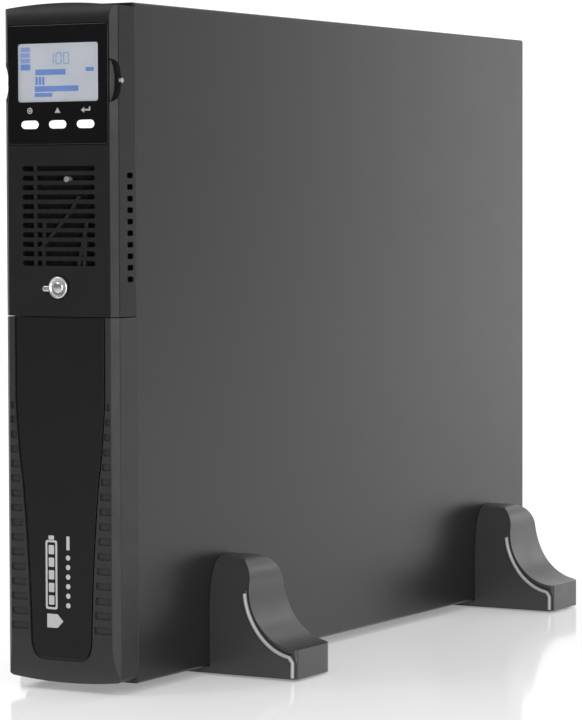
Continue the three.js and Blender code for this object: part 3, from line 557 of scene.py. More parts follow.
def piece(name, mesh, material, body="root", replaces=None, edge=0.3, segments=2):
    """A new piece from mesh data in case millimetres."""
    mesh.transform(TO_ROW)
    mesh.name = name
    mesh.materials.clear()
    mesh.materials.append(M[material])
    mesh.shade_smooth()
    if not edge:
        mesh.set_sharp_from_angle(angle=math.radians(SHARP))
    obj = bpy.data.objects.new(name, mesh)
    bpy.context.scene.collection.objects.link(obj)
    edged(obj, edge, segments)
    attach(obj, body)
    if replaces:
        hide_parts(replaces)


def screw_head(x, z, y, radius, rise, facing=-1):
    """A pan head with a cross recess, its face towards -Y, or towards +Y when facing is 1."""
    profile = [(0, 0), (radius, 0), (radius, rise * 0.45), (radius * 0.86, rise * 0.8),
               (radius * 0.55, rise), (0, rise * 1.02)]
    head = turned(profile, steps=24)
    arm, wide = radius * 0.58, radius * 0.13
    cross = [block(-arm, arm, rise * 0.4, rise * 2, -wide, wide),
             block(-wide, wide, rise * 0.4, rise * 2, -arm, arm)]
    head = cut(head, *cross)
    return moved(head if facing > 0 else mirrored(head, (0, 1, 0)), x, y, z)


# ---------------------------------------------------------------- steel case
def case_cover():
    """The folded cover: top, bottom and the closed side, from one sheet with 2 mm bends."""
    outer = ([(-HALF, 0)] + arc(HALF - 2, 2, 2, -90, 0, 8) + arc(HALF - 2, HEIGHT - 2, 2, 0, 90, 8)
             + [(-HALF, HEIGHT)])
    inner = ([(-HALF, HEIGHT - SHEET)] + arc(HALF - 2, HEIGHT - 2, 2 - SHEET, 90, 0, 8)
             + arc(HALF - 2, 2, 2 - SHEET, 0, -90, 8) + [(-HALF, SHEET)])
    sheet = extrude(outer + inner, "y", 0, DEPTH)
    piece("case_cover", sheet, "case_steel", "root", "outer_cover", edge=0.45)


def side_screws():
    """Countersunk screws along the left side, which hold the two halves of the case together."""
    heads = []
    for y in (26, 208, 390, 560):
        for z in (14, 426):
            head = turned([(0, 0), (3.1, 0), (2.7, 0.28), (1.2, 0.34), (0, 0.34)], axis="x", steps=24)
            arms = [block(-0.1, 1, -u, u, -v, v) for u, v in ((0.4, 1.9), (1.9, 0.4))]
            head = mirrored(cut(head, *[moved(arm, 0.2) for arm in arms]))
            heads.append(moved(head, -HALF - 0.02, y, z))
    piece("side_screws", together(heads), "screw_black", edge=0)


# ---------------------------------------------------------------- moulded front
def front_plan(inset):
    """Plan of the moulded front: a flat face between two flat 45 degree corners, open at the back."""
    half, front, leg = HALF - inset, -BEZEL + inset, CORNER - 0.586 * inset
    soft = max(1.3 - inset, 0.3)
    reach = soft * math.tan(math.pi / 8)
    right = (arc(half - leg - reach, front + soft, soft, 270, 315, 4)
             + arc(half - soft, front + leg + reach, soft, 315, 360, 4))
    return [(half, -GAP), (-half, -GAP)] + [(-u, v) for u, v in reversed(right)] + right


def upper_face(inset):
    half, top = HALF - inset, HEIGHT - inset
    low = SEAM + GAP + inset
    bow = arc(0, top - ARCH_RADIUS, ARCH_RADIUS, 90 - ARCH_ANGLE, 90 + ARCH_ANGLE, 40)
    return [(-half, low), (half, low)] + [(max(-half, min(half, u)), v) for u, v in bow]


def lower_face(inset):
    half, corner, high = HALF - inset, max(4 - inset, 0.8), SEAM - GAP - inset
    meet, middle = half - corner, ARCH_RADIUS + inset
    turn = math.degrees(math.asin(meet / (ARCH_RADIUS - corner)))
    low = middle - math.sqrt((ARCH_RADIUS - corner) ** 2 - meet ** 2)
    return ([(half, high), (-half, high)] + arc(-meet, low, corner, 180, 270 - turn, 8)[:-1]
            + arc(0, middle, ARCH_RADIUS, 270 - turn, 270 + turn, 40)
            + arc(meet, low, corner, 270 + turn, 360, 8)[1:])


def leaning(end, toward, length, lean):
    """Side view: the front face leans back over the last stretch before an end."""
    sign = math.copysign(1, end - toward)
    start, knee = (-BEZEL, end - sign * length), (-BEZEL, end - sign * length * 0.4)
    return ([(40, toward), (-60, toward), (-BEZEL - 0.001, toward), start]
            + curve(start, knee, (-BEZEL + lean, end), 14)
            + [(-BEZEL + lean, end + sign * 6), (40, end + sign * 6)])


def across(outline, half=HALF + 5):
    return extrude(outline, "x", -half, half)


def grille_slots():
    return together([extrude(pill(0, 272.6 + row * 6.1, 56, 3.4), "y", -BEZEL - 2, -BEZEL + 6)
                     for row in range(11)])


def side_vents():
    vents = []
    for row in range(10):
        z = 262.3 + row * 7.4
        slot = round_box(-10.5, -3.5, z - 1.8, z + 1.8, 1.2, 4)
        vents.append(extrude(slot, "x", HALF - WALL - 1, HALF + 1))
        vents.append(extrude(slot, "x", -HALF - 1, -HALF + WALL + 1))
    return together(vents)


def moulding(face, low, high, lean, inset=0.0, shift=0.0):
    """The moulded front between two heights, or what an inset of its faces leaves inside."""
    return common(extrude(front_plan(inset), "z", low, high),
                  extrude(face(inset), "y", -BEZEL - 5, 5), moved(across(lean), 0, inset, shift))


def back_rim(low, high):
    """A flange that closes the gap to the case where the front's edge is bowed."""
    return block(0.5 - HALF, HALF - 0.5, -2.4, -GAP, low, high)


def upper_bezel():
    lean = leaning(HEIGHT, SEAM, 14, 4)
    outside = moulding(upper_face, SEAM, HEIGHT, lean)
    inside = moulding(upper_face, SEAM, HEIGHT, lean, WALL, -WALL)
    wide, pocket, front = HALF - WALL, MODULE_HALF + 0.4, -BEZEL - 1
    back = block(-wide, wide, -GAP - 0.5, 5, SEAM + GAP + WALL, HEIGHT - ARCH - 4)
    wall = block(-HALF + 1, HALF - 1, -BEZEL + 1, -2, DISPLAY_Z - pocket - 2, DISPLAY_Z + pocket + 2)
    hollow = cut(union(moved(inside, 0, 0.01, 0), back), wall)
    recess = round_box(-pocket, pocket, DISPLAY_Z - pocket, DISPLAY_Z + pocket, 2.8)
    cable = block(-18, 18, -10, 5, DISPLAY_Z - 6, DISPLAY_Z + 6)
    notch = across(oval(-BEZEL - 0.6, DISPLAY_Z + 2, 8.2, 14.0))
    thin = [block(x0, x1, -13, -1.6, 257, 335)
            for x0, x1 in ((HALF - 4, HALF - 0.8), (0.8 - HALF, 4 - HALF))]
    sockets = [rod("y", 0, BADGE_Z, 2.3, front, -BEZEL + 5),
               rod("y", LENS_X, LENS_Z, 2.3, front, -BEZEL + 5)]
    seat = rod("y", 0, BADGE_Z, 7.9, front, -BEZEL + 0.5, 40)
    shell = cut(outside, hollow, extrude(recess, "y", -40, -4), cable, notch, *thin, *sockets, seat,
                grille_slots(), side_vents())
    shell = union(shell, back_rim(HEIGHT - 8, HEIGHT - 0.5))
    piece("upper_bezel_shell", shell, "bezel_plastic", "root", "upper_bezel", edge=0.4)


def grille_ribs():
    """Ribs just behind the grille that stiffen it: uprights and slanting struts."""
    bars = [((-20, 268), (-20, 338)), ((-14, 268), (-13, 300)), ((17, 268), (19, 290)),
            ((-16, 282), (6, 304)), ((6, 304), (14, 316)), ((13, 270), (20, 300))]
    ribs = []
    for (x0, z0), (x1, z1) in bars:
        length = math.dist((x0, z0), (x1, z1))
        angle = math.degrees(math.atan2(z1 - z0, x1 - x0))
        outline = round_box(-length / 2, length / 2, -1.2, 1.2, 0.5, 3)
        bar = extrude(outline, "y", -BEZEL + 2.6, -BEZEL + 5.2, 0.4)
        ribs.append(moved(bar, (x0 + x1) / 2, 0, (z0 + z1) / 2, -angle))
    piece("grille_ribs", union(*ribs), "cover_plastic", edge=0.2)


def latch_nubs():
    """The round end of the display's catch, at the rear edge of each finger notch; its light grey is
    partly a painted glint.
    """
    nubs = []
    for side in (-1, 1):
        nub = turned([(0, -1.6), (1.7, -1.6), (1.7, 0.1), (1.3, 0.55), (0.6, 0.8), (0, 0.85)],
                     axis="x", steps=24)
        if side < 0:
            nub = mirrored(nub)
        nubs.append(moved(nub, side * (HALF - 0.1), -BEZEL + 8.8, DISPLAY_Z + 2))
    piece("display_catches", together(nubs), "catch_grey_painted_glint", edge=0)


def dust_filter():
    """A thin foam filter behind the grille and the side vents; its very dark tone is partly painted shade
    behind the slots.
    """
    sheet = block(-31, 31, -BEZEL + 5.6, -BEZEL + 7.4, 268, 341, 0.8)
    sides = [block(side * 38 - 0.8, side * 38 + 0.8, -14, -1.8, 258, 334, 0.4) for side in (-1, 1)]
    piece("dust_filter", together([sheet] + sides), "filter_foam_painted_shade", edge=0)


def badge_and_lens():
    """A plain round badge with a short tail, and the status lens in the grille."""
    rim = [(0, 4), (2, 4), (2, 0.2), (7, 0.2), (7.2, -0.1), (7.2, -1.5), (6.9, -2.0), (6.4, -2.3),
           (5.9, -2.2), (5.5, -1.8), (5.2, -1.3), (3.6, -1.2), (3.3, -1.6), (2.2, -2.0), (0, -2.1)]
    disc = turned(rim[::-1], (0, -BEZEL, BADGE_Z), steps=56)
    tail = extrude(pill(-8.6, BADGE_Z - 0.8, 7.6, 3.6), "y", -BEZEL - 1.5, -BEZEL + 0.3, 0.7)
    piece("badge_disc", union(disc, tail), "badge_chrome", "root", "badge", edge=0.15)
    dome = turned([(0, -1.1), (0.8, -1.0), (1.5, -0.6), (1.9, 0), (1.9, 4.5), (0, 4.5)],
                  (LENS_X, -BEZEL, LENS_Z), steps=32)
    piece("status_dome", dome, "lens", "root", "status_lens", edge=0)


def inset_outline(grow):
    """The inset panel: straight at the top, then narrowing in a long curve to a round tongue."""
    top, bottom = SEAM - 1.2, 16 - grow
    right = [(14, bottom)]
    right += curve((14, bottom), (22.5 + grow, bottom), (23 + grow, 30), 10)
    right += curve((23 + grow, 30), (24 + grow, 80), (29 + grow, 132), 14)
    right += curve((29 + grow, 132), (32 + grow, 150), (34 + grow, 185), 8)
    right.append((34 + grow, top + max(grow, 0)))
    return right + [(-u, v) for u, v in reversed(right)]


def inset_half(z):
    """Roughly half the inset's width at a height."""
    return 29 + 5 * min((z - 132) / 53, 1) if z > 132 else 23 + 6 * (z - 30) / 102


def rungs():
    """Shallow pockets on both sides of the inset, like the rungs of a ladder."""
    pockets = []
    for rung in range(16):
        z = 34 + rung * 9.6
        near, far = inset_half(z) + 2.2, 38.4
        for side in (-1, 1):
            ends = sorted((side * near, side * far))
            shape = round_box(ends[0], ends[1], z, z + 4.8, 1.1, 4)
            pockets.append(extrude(shape, "y", -BEZEL - 2, -BEZEL + 1.1))
    return together(pockets)


def battery_cover():
    lean, wall = leaning(0, SEAM, 32, 5.5), WALL + 0.4
    outside = moulding(lower_face, 0, SEAM, lean)
    inside = moulding(lower_face, 0, SEAM, lean, wall, wall)
    back = block(-HALF + wall, HALF - wall, -GAP - 0.6, 5, 14, SEAM - GAP - wall)
    seat = extrude(inset_outline(1.0), "y", -BEZEL - 4, -BEZEL + 1.9)
    lift = extrude(oval(0, SEAM - 0.4, 11, 3.2), "y", -BEZEL - 4, -BEZEL + 1.2)
    shell = union(cut(outside, union(inside, back), seat, rungs(), lift), back_rim(0.5, 8))
    piece("battery_cover_shell", shell, "cover_plastic", "lower_front", "battery_cover", edge=0.4)


def cover_inset():
    panel = extrude(inset_outline(-0.25), "y", -BEZEL + GAP, -BEZEL + 1.6, 0.5)
    piece("inset_panel", panel, "inset_plastic", "lower_front", "cover_inset", edge=0.2)


def cover_print():
    """A generic mark printed on the inset: a battery with charge bars, a row of dots and a tag."""
    def patch(outline):
        return extrude(outline, "y", -BEZEL + GAP - 0.12, -BEZEL + GAP + 0.05)

    hole = extrude(round_box(-10.6, -4.4, 48.4, 90.6, 0.8), "y", -BEZEL - 1, -BEZEL + 1)
    body = cut(patch(round_box(-12, -3, 47, 92, 1.6)), hole)
    marks = [body, patch(round_box(-9.6, -5.4, 92.3, 95, 0.7))]
    marks += [patch(round_box(-9.6, -5.4, 50 + k * 8.2, 56 + k * 8.2, 0.6)) for k in range(5)]
    marks += [patch(oval(5.4, 50 + k * 6.2, 1.7, 1.7, steps=20)) for k in range(6)]
    marks.append(patch(round_box(4.2, 6.6, 86, 95, 0.6)))
    marks.append(patch([(-11, 35), (-3, 35), (1.4, 39.5), (-3, 44), (-11, 44)]))
    whole = moved(together(marks), z=1.2)
    piece("inset_print", whole, "print_white", "lower_front", edge=0)


# ---------------------------------------------------------------- display module
def module_face(inset):
    half, r = MODULE_HALF - inset, 2.4
    return round_box(-half, half, DISPLAY_Z - half, DISPLAY_Z + half, r, 8)


def display_module():
    """Gloss frame, skirt behind it, clear pane, screen and rear shell."""
    front, soft = DISPLAY_FRONT, 0.3

    def opened(outline):
        return extrude(outline, "y", front - 1, front + 4)

    blank = extrude(module_face(0), "y", front, front + 2.4, 0.5, 0.2, 3)
    inside = extrude(module_face(2), "y", front + 2, front + 4)
    opening = opened(round_box(-WINDOW_HALF, WINDOW_HALF, WINDOW_LOW, WINDOW_HIGH, 1.6))
    keys = [opened(pill(k * KEY_PITCH, KEY_Z, 13.4, 5.4)) for k in (-1, 0, 1)]
    shell = cut(blank, inside, opening, together(keys))
    piece("display_frame", shell, "module_gloss", "display", "display_housing", edge=0.15)
    skirt = cut(extrude(module_face(0.15), "y", front + 2.5, -12, 0.3, 0.3),
                extrude(module_face(2), "y", front + 2, -11))
    piece("display_skirt", skirt, "skirt_grey", "display", edge=0.2)
    pane = round_box(soft - WINDOW_HALF, WINDOW_HALF - soft, WINDOW_LOW + soft, WINDOW_HIGH - soft, 1.4)
    piece("display_pane", extrude(pane, "y", front + 0.5, front + 1.5, 0.2), "window_clear", "display",
          "display_window", edge=0)
    ground = extrude(round_box(-34, 34, WINDOW_LOW - 1.6, WINDOW_HIGH + 2.6, 0.6), "y",
                     front + 2.3, front + 5)
    piece("display_ground", ground, "screen", "display", "lcd_panel", edge=0)
    back = cut(extrude(module_face(0.15), "y", -11.7, -4.4, 0.4, 0.8),
               extrude(module_face(2), "y", -13, -6.4))
    piece("display_rear_shell", back, "module_gloss", "display", "display_back", edge=0.2)


def segment_digit(x, z, lit_segments):
    """One digit of a seven-segment figure, 4.6 mm wide and 7.6 mm high."""
    bars = {"a": (0.5, 7.0, 3.6, 0.8), "g": (0.5, 3.5, 3.6, 0.8), "d": (0.5, 0.0, 3.6, 0.8),
            "f": (0, 4.1, 0.8, 3.2), "b": (3.8, 4.1, 0.8, 3.2), "e": (0, 0.6, 0.8, 3.2),
            "c": (3.8, 0.6, 0.8, 3.2)}
    return [round_box(x + u, x + u + wide, z + v, z + v + high, 0.2, 2)
            for u, v, wide, high in (bars[key] for key in lit_segments)]


def screen_marks():
    """What the display shows: a level column, a number, bars and a small flag."""
    left, top = 0.3 - WINDOW_HALF, WINDOW_HIGH - 0.3
    wide, high = 2 * WINDOW_HALF - 0.6, 36.9

    def mark(u0, u1, v0, v1):
        return round_box(left + u0 * wide, left + u1 * wide, top - v1 * high, top - v0 * high, 0.35, 3)

    def printed(outlines):
        face = DISPLAY_FRONT + 2.3
        return together([extrude(o, "y", face - 0.15, face + 0.1) for o in outlines])

    bars = ((0.015, 0.135, 0.345, 0.45), (0.20, 0.58, 0.44, 0.54), (0.83, 0.93, 0.42, 0.49),
            (0.19, 0.74, 0.73, 0.83), (0.19, 0.41, 0.85, 0.92))
    dark = [mark(*bar) for bar in bars]
    dark += [mark(0.20 + k * 0.042, 0.23 + k * 0.042, 0.57, 0.71) for k in range(3)]
    pale = [mark(0.015, 0.135, 0.05 + k * 0.098, 0.13 + k * 0.098) for k in range(3)]
    for k, lit_segments in enumerate(("bc", "abcdef", "abcdef")):
        pale += segment_digit(left + 0.36 * wide + k * 5.8, top - 0.36 * high, lit_segments)
    for name, material, marks in (("dark", "screen_mark", dark), ("pale", "screen_pale", pale)):
        piece(f"screen_marks_{name}", printed(marks), material, "display", edge=0)


def display_keys():
    """White key caps with a raised, rounded face, and a flange behind the frame that keeps them in."""
    for k, side in enumerate(("left", "middle", "right")):
        x = (k - 1) * KEY_PITCH
        front = DISPLAY_FRONT - 1
        cap = extrude(pill(x, KEY_Z, 12.8, 4.8, 10), "y", front, front + 4, 0.9, 0, 5)
        flange = extrude(pill(x, KEY_Z, 15.8, 7.6, 10), "y", front + 3.3, front + 5)
        # The key caps glow with a painted glow from their emission.
        piece(f"key_cap_{side}", union(cap, flange), "key_white", f"key_{side}", f"button_{side}",
              edge=0.15)


def key_marks():
    """Generic signs above the keys: a dot in a ring, an arrow up and a return arrow."""
    z, key = KEY_Z + 9, KEY_PITCH

    def patch(outline):
        return extrude(outline, "y", 0, 0.2)

    ring = cut(patch(oval(-key, z, 2.0, 2.0, steps=28)),
               extrude(oval(-key, z, 1.3, 1.3, steps=28), "y", -1, 1))
    shapes = [oval(-key, z, 0.8, 0.8, steps=20), [(-2.2, z - 1.6), (2.2, z - 1.6), (0, z + 1.9)],
              [(key - 3.4, z), (key - 0.9, z - 1.9), (key - 0.9, z + 1.9)]]
    shaft = union(patch(round_box(key - 1.1, key + 3.6, z - 0.55, z + 0.55, 0.3, 3)),
                  patch(round_box(key + 2.6, key + 3.7, z - 0.5, z + 2.1, 0.3, 3)))
    whole = together([ring] + [patch(shape) for shape in shapes] + [shaft])
    piece("key_marks", moved(whole, 0, DISPLAY_FRONT - 0.1, 0), "print_grey", "display",
          edge=0)


# ---------------------------------------------------------------- feet
FOOT_REACH = 111.0
FOOT_WIDTH = 50.0
FOOT_HIGH = 74.0
FOOT_LOW = -GROUND + 1.52                       # on top of the rubber pad
FOOT_FRONTS = (("front", 89), ("rear", 492))    # where each pair starts


def foot_profile():
    """Front view of a right foot: flat base, upright at the case, one elliptic sweep to the toe."""
    side, edge, soft = HALF + GAP, FOOT_REACH - 37.5, 17
    sweep = oval(FOOT_REACH, 57, 37.5, 42, 270, 180, 28)
    top = arc(edge - soft, FOOT_HIGH - soft, soft, 0, 90, 10)[1:]
    return ([(GAP, FOOT_LOW), (FOOT_REACH, FOOT_LOW)] + sweep + top
            + [(side, FOOT_HIGH), (side, -GAP), (GAP, -GAP)])


def hood():
    """Side view of a foot's front edge: upright, then leaning back into a round top."""
    lean = curve((0, 36), (0.2, 58), (8, FOOT_HIGH - 5), 18)
    return [(0, -60), (0, 36)] + lean + curve(lean[-1], (12.3, FOOT_HIGH), (22, FOOT_HIGH), 12)


def hood_at(z):
    """How far back the front surface is at a height."""
    for (y0, z0), (y1, z1) in zip(hood(), hood()[1:]):
        if z0 <= z <= z1:
            return y0 + (y1 - y0) * (z - z0) / (z1 - z0)
    return 0


def bead_path(outward, last):
    """Along the front face: up from the base at the toe, and along the sweep to its top."""
    toe = FOOT_REACH - 3.4 + outward
    sweep = oval(FOOT_REACH, 60, 41.4 - outward, 50.5 - outward, 264, last, 34)
    points = [(toe, FOOT_LOW + 0.9), (toe, 2), (toe, 6.5)] + [p for p in sweep if p[0] < toe - 1.4]
    return [(u, hood_at(v), v) for u, v in points]


def right_foot():
    """Body of a right foot, with a groove for the bead."""
    side = hood() + [(FOOT_WIDTH - y, z) for y, z in reversed(hood())]
    plan = ([(-20, 0)] + arc(FOOT_REACH - 2.4, 2.4, 2.4, 270, 360, 5)
            + arc(FOOT_REACH - 9, FOOT_WIDTH - 9, 9, 0, 90, 10) + [(-20, FOOT_WIDTH)])
    body = common(extrude(foot_profile(), "y", 0, FOOT_WIDTH),
                  extrude(side, "x", -5, FOOT_REACH + 5), extrude(plan, "z", -20, 90))
    return cut(body, tube(bead_path(1.9, 189), 1.25, 14))


def feet():
    for end, y in FOOT_FRONTS:
        for side in ("right", "left"):
            foot, rim = right_foot(), tube(bead_path(0, 191), 1.2, 14)
            if side == "left":
                foot, rim = mirrored(foot), mirrored(rim)
            piece(f"{end}_{side}_foot_shell", moved(foot, 0, y, 0), "foot_plastic", "root",
                  f"{end}_foot_{side}", edge=0.6, segments=3)
            # The bead's light grey is partly a painted highlight along the sweep and the toe.
            piece(f"{end}_{side}_foot_bead", moved(rim, 0, y, 0), "bead_grey_painted_highlight",
                  edge=0)


# ---------------------------------------------------------------- battery tray
def tray_details():
    """The tray's pull handle with its collars, the battery lead and the retainer's screws."""
    back, low, high, reach = 0.1, 88, 168, -14
    handle = smooth_path([(0, back, low), (0, back - 5, low), (0, reach + 0.8, low + 1.2),
                          (0, reach, low + 7), (0, reach, high - 7), (0, reach + 0.8, high - 1.2),
                          (0, back - 5, high), (0, back, high)], 7)
    piece("handle_bar", tube(handle, 2.4, 18), "badge_chrome", "tray", "tray_handle", edge=0.2)
    lead = smooth_path([(9, -13, 220.7), (9.5, -13, 212), (15, -10.5, 192), (23, -6, 170), (25, -5, 140),
                        (25, -5, 122), (25, -2, 113.5), (25, 4, 111), (25, 12, 111)], 8)
    piece("battery_lead_sleeve", tube(lead, 3.4, 18), "lead_rubber", "tray", "battery_lead", edge=0)
    seats = [(-34, 12), (34, 12), (-34, 211), (34, 211)]
    screws = [screw_head(x, z, 0.35, 3.4, 1.7) for x, z in seats]
    piece("tray_screws", together(screws), "plated", "tray", edge=0)
    collars = []
    for z in (low, high):
        collar = turned([(0, 0), (5.4, 0), (5.4, 0.9), (3.2, 1.5), (0, 1.5)], steps=28)
        collars.append(moved(mirrored(collar, (0, 1, 0)), 0, 0.35, z))
    piece("handle_collars", together(collars), "plated", "tray", edge=0)


def power_connector(y0, y1, name, body, node):
    """Two contact housings side by side, as on a high-current battery connector."""
    halves, mouths = [], []
    for x in (-CONTACT_X, CONTACT_X):
        shell = extrude(round_box(x - 7.3, x + 7.3, 221.1, 232.4, 1.4), "y", y0, y1, 0.6, 0.6)
        halves.append(cut(shell, block(x - 3.4, x + 3.4, y0 - 1, y1 + 1, 231.3, 234)))
        mouth = round_box(x - 4.6, x + 4.6, 223.2, 229.6, 0.8)
        mouths.append(extrude(mouth, "y", y0 - 2.6, y0 + 2.6))
    bridge = block(-6, 6, y0 + 1.5, y1 - 1.5, 223, 230)
    whole = union(halves[0], bridge, halves[1])
    piece(name, cut(whole, *mouths), "connector_red", body, node, edge=0.25)


def connectors():
    power_connector(-19.4, -8.4, "lead_plug", "tray", "battery_plug")
    power_connector(-7.9, 1.6, "bay_socket", "root", "battery_socket")
    pins = [extrude(round_box(x - 3.4, x + 3.4, 224.4, 225.6, 0.4, 3), "y", -19, -16.6)
            for x in (-CONTACT_X, CONTACT_X)]
    piece("plug_contacts", together(pins), "plated", "tray", edge=0)


def battery_tops():
    """Flat terminals and vent lids on each of the six batteries; the upper row stands on its head."""
    blades, lids = [], []
    half, high = 75.5, 94.0
    for floor, up in ((9.5, True), (118.5, False)):
        top = floor + high if up else floor
        z0, z1 = (top - 1, top + 5) if up else (top - 5, top + 1)
        ends = (top - 0.2, top + 0.25) if up else (top - 0.25, top + 0.2)
        for column in range(3):
            y = 4.0 + half + column * 153
            for end in (y - half + 12, y + half - 12):
                eye = rod("y", -17.1, z1 - 2 if up else z0 + 2, 0.9, end - 2, end + 2, 16)
                blade = cut(block(-20.4, -13.8, end - 0.45, end + 0.45, z0, z1), eye)
                blades.append(moved(blade, 0.6, 0, 0))
            lids += [extrude(round_box(-8, 22, y - 40 + k * 28, y - 16 + k * 28, 2), "z", *ends)
                     for k in range(3)]
    piece("battery_blades", together(blades), "plated", "tray", edge=0)
    piece("battery_lids", together(lids), "battery_case", "tray", edge=0)


# ---------------------------------------------------------------- rear
def hoop(x, z, y, radius, thick, steps, sides):
    """A wire ring that faces the rear."""
    turns = (2 * math.pi * k / steps for k in range(steps))
    path = [(x + radius * math.cos(a), y, z + radius * math.sin(a)) for a in turns]
    return tube(path, thick, sides, True)


def fan_pieces():
    """The wire guard, with four rings, four arms and their eyes, and the fan's screws."""
    level, reach = ON_PANEL + 0.9, 50.4
    wires = [hoop(0, FAN_Z, level, r, 0.95, 60, 10) for r in (13, 20.6, 28.3, 36)]
    screws = []
    for angle in (45, 135, 225, 315):
        c, s = math.cos(math.radians(angle)), math.sin(math.radians(angle))
        ends = [(11.6, level + 0.2), (36, level + 0.2), (44, level - 0.1), (50.5, level)]
        wires.append(tube(smooth_path([(c * r, y, FAN_Z + s * r) for r, y in ends], 5), 0.9, 10))
        wires.append(hoop(c * reach, FAN_Z + s * reach, level, 2.9, 0.85, 24, 8))
        screws.append(screw_head(c * reach, FAN_Z + s * reach, ON_PANEL - 0.2, 2.9, 2.3, 1))
    piece("fan_guard_wires", together(wires), "plated", "root", "fan_guard", 0)
    piece("fan_screws", together(screws), "screw_black", edge=0)


def fan_rotor():
    """Hub with a rounded face and seven swept blades, each twisted from root to tip."""
    depth, start = 17.0, 553.6
    profile = [(0, 0.6), (14.6, 0.6), (16, 1.8), (16, depth), (0, depth)]
    hub = turned(profile, (0, start, FAN_Z), steps=48)
    blades = []
    for index in range(7):
        rings = []
        for k in range(7):
            radius = 15.2 + k * 3.3
            sweep, pitch = math.radians(k * 3.2), math.radians(48 - k * 3.2)
            chord, thick = 8.4 + k * 0.55, 0.85 - k * 0.05
            ring = []
            for u, v in oval(0, 0, chord, thick, steps=16):
                bowed = v + 1.1 * (1 - (u / chord) ** 2)
                round_hub = u * math.cos(pitch) - bowed * math.sin(pitch)
                y = start + depth / 2 + u * math.sin(pitch) + bowed * math.cos(pitch)
                turn = sweep + round_hub / radius
                ring.append((radius * math.cos(turn), y, radius * math.sin(turn)))
            rings.append(ring)
        blades.append(moved(moved(stack(rings), turn=index * 360 / 7), 0, 0, FAN_Z))
    piece("fan_blades", together([hub] + blades), "socket_black", "fan", "fan_rotor", edge=0)


def outlet_contacts():
    """Pairs of brass leaves behind each of the outlets' three slots."""
    leaves = []
    back, front = ON_PANEL - 11.8, ON_PANEL - 1.4
    for z in OUTLET_BLOCKS:
        for dx in (-17, 17):
            for dz in (-17, 17):
                for sx, sz in ((3, -7), (3, 7), (-3.5, 0)):
                    x, up = dx + sx, z + dz + sz
                    leaves += [block(x + low, x + low + 0.5, back, front, up - 2.3, up + 2.3)
                               for low in (-1.1, 0.6)]
    piece("outlet_contacts", together(leaves), "brass", edge=0)


def port_metal():
    """The inlet's blades, the serial port's face and posts, the USB tongue and the terminal screws."""
    blades = [extrude(round_box(SIDE_X + x - 1.05, SIDE_X + x + 1.05,
                                INLET_Z + z - 3.55, INLET_Z + z + 3.55, 0.5, 3),
                      "y", ON_PANEL - 19.5, ON_PANEL - 3.2, 0, 0.5)
              for x, z in ((3, -7), (3, 7), (-5, 0))]
    piece("inlet_blades", together(blades), "plated", edge=0)
    corners = ((-3.5, -7.8), (3.5, -6.6), (3.5, 6.6), (-3.5, 7.8))
    face = extrude([(PORT_X + x, SERIAL_Z + z) for x, z in corners], "y",
                   ON_PANEL + 5.4, ON_PANEL + 6.15)
    pins = [(-1.6, -5.5 + k * 2.8) for k in range(5)] + [(1.6, -4.1 + k * 2.8) for k in range(4)]
    holes = together([rod("y", PORT_X + x, SERIAL_Z + z, 0.62, ON_PANEL, ON_PANEL + 9, 14)
                      for x, z in pins])
    piece("serial_face", cut(face, holes), "socket_black", edge=0)
    profile = [(0, 0), (2.6, 0), (2.6, 3.4), (2.2, 3.8), (0, 3.8)]
    posts = [turned(profile, (PORT_X, ON_PANEL + 1.0, SERIAL_Z + z), steps=6) for z in (-12.6, 12.6)]
    piece("serial_posts", together(posts), "plated", edge=0.2)
    tongue = round_box(PORT_X - 2.9, PORT_X + 2.9, USB_Z - 1.7, USB_Z + 1.7, 0.3, 3)
    # The USB tongue glows with a painted glow from its emission.
    piece("usb_tongue", extrude(tongue, "y", ON_PANEL - 9, ON_PANEL + 0.7), "key_white", edge=0.15)
    screws = [screw_head(PORT_X + 2.6, TERMINAL_Z - 7.6 + k * 5.08, ON_PANEL + 3.2, 1.35, 1.0, 1)
              for k in range(4)]
    piece("terminal_screws", together(screws), "plated", edge=0)


def rear_fasteners():
    """Screws round the rear panel and on the sockets, and the slot cover's knurled knobs."""
    edge = [(-38, 8), (38, 8), (-38, 432), (38, 432), (38, 220), (-38, 205)]
    heads = [screw_head(x, z, REAR - 0.1, 2.9, 1.9, 1) for x, z in edge]
    heads += [screw_head(SIDE_X, INLET_Z + z, ON_PANEL + 2.9, 2.5, 1.4, 1) for z in (-22.2, 22.2)]
    heads += [screw_head(x, z, ON_PANEL + 2.4, 2.2, 1.3, 1)
              for z in OUTLET_BLOCKS for x in (-30.6, 30.6)]
    piece("rear_screws", together(heads), "screw_black", edge=0)
    knobs = []
    for z in (219, 337):
        knob = turned([(0, 0), (4.6, 0), (4.6, 4.6), (4.1, 5.4), (2.6, 5.6), (0, 5.6)],
                      (SIDE_X, ON_PANEL + 1.1, z), steps=40)
        teeth = [moved(block(4.25, 5.5, ON_PANEL + 1.0, ON_PANEL + 5.8, -0.3, 0.3), turn=k * 20)
                 for k in range(18)]
        knobs.append(cut(knob, moved(together(teeth), SIDE_X, 0, z)))
    piece("slot_cover_knobs", together(knobs), "plated", edge=0)


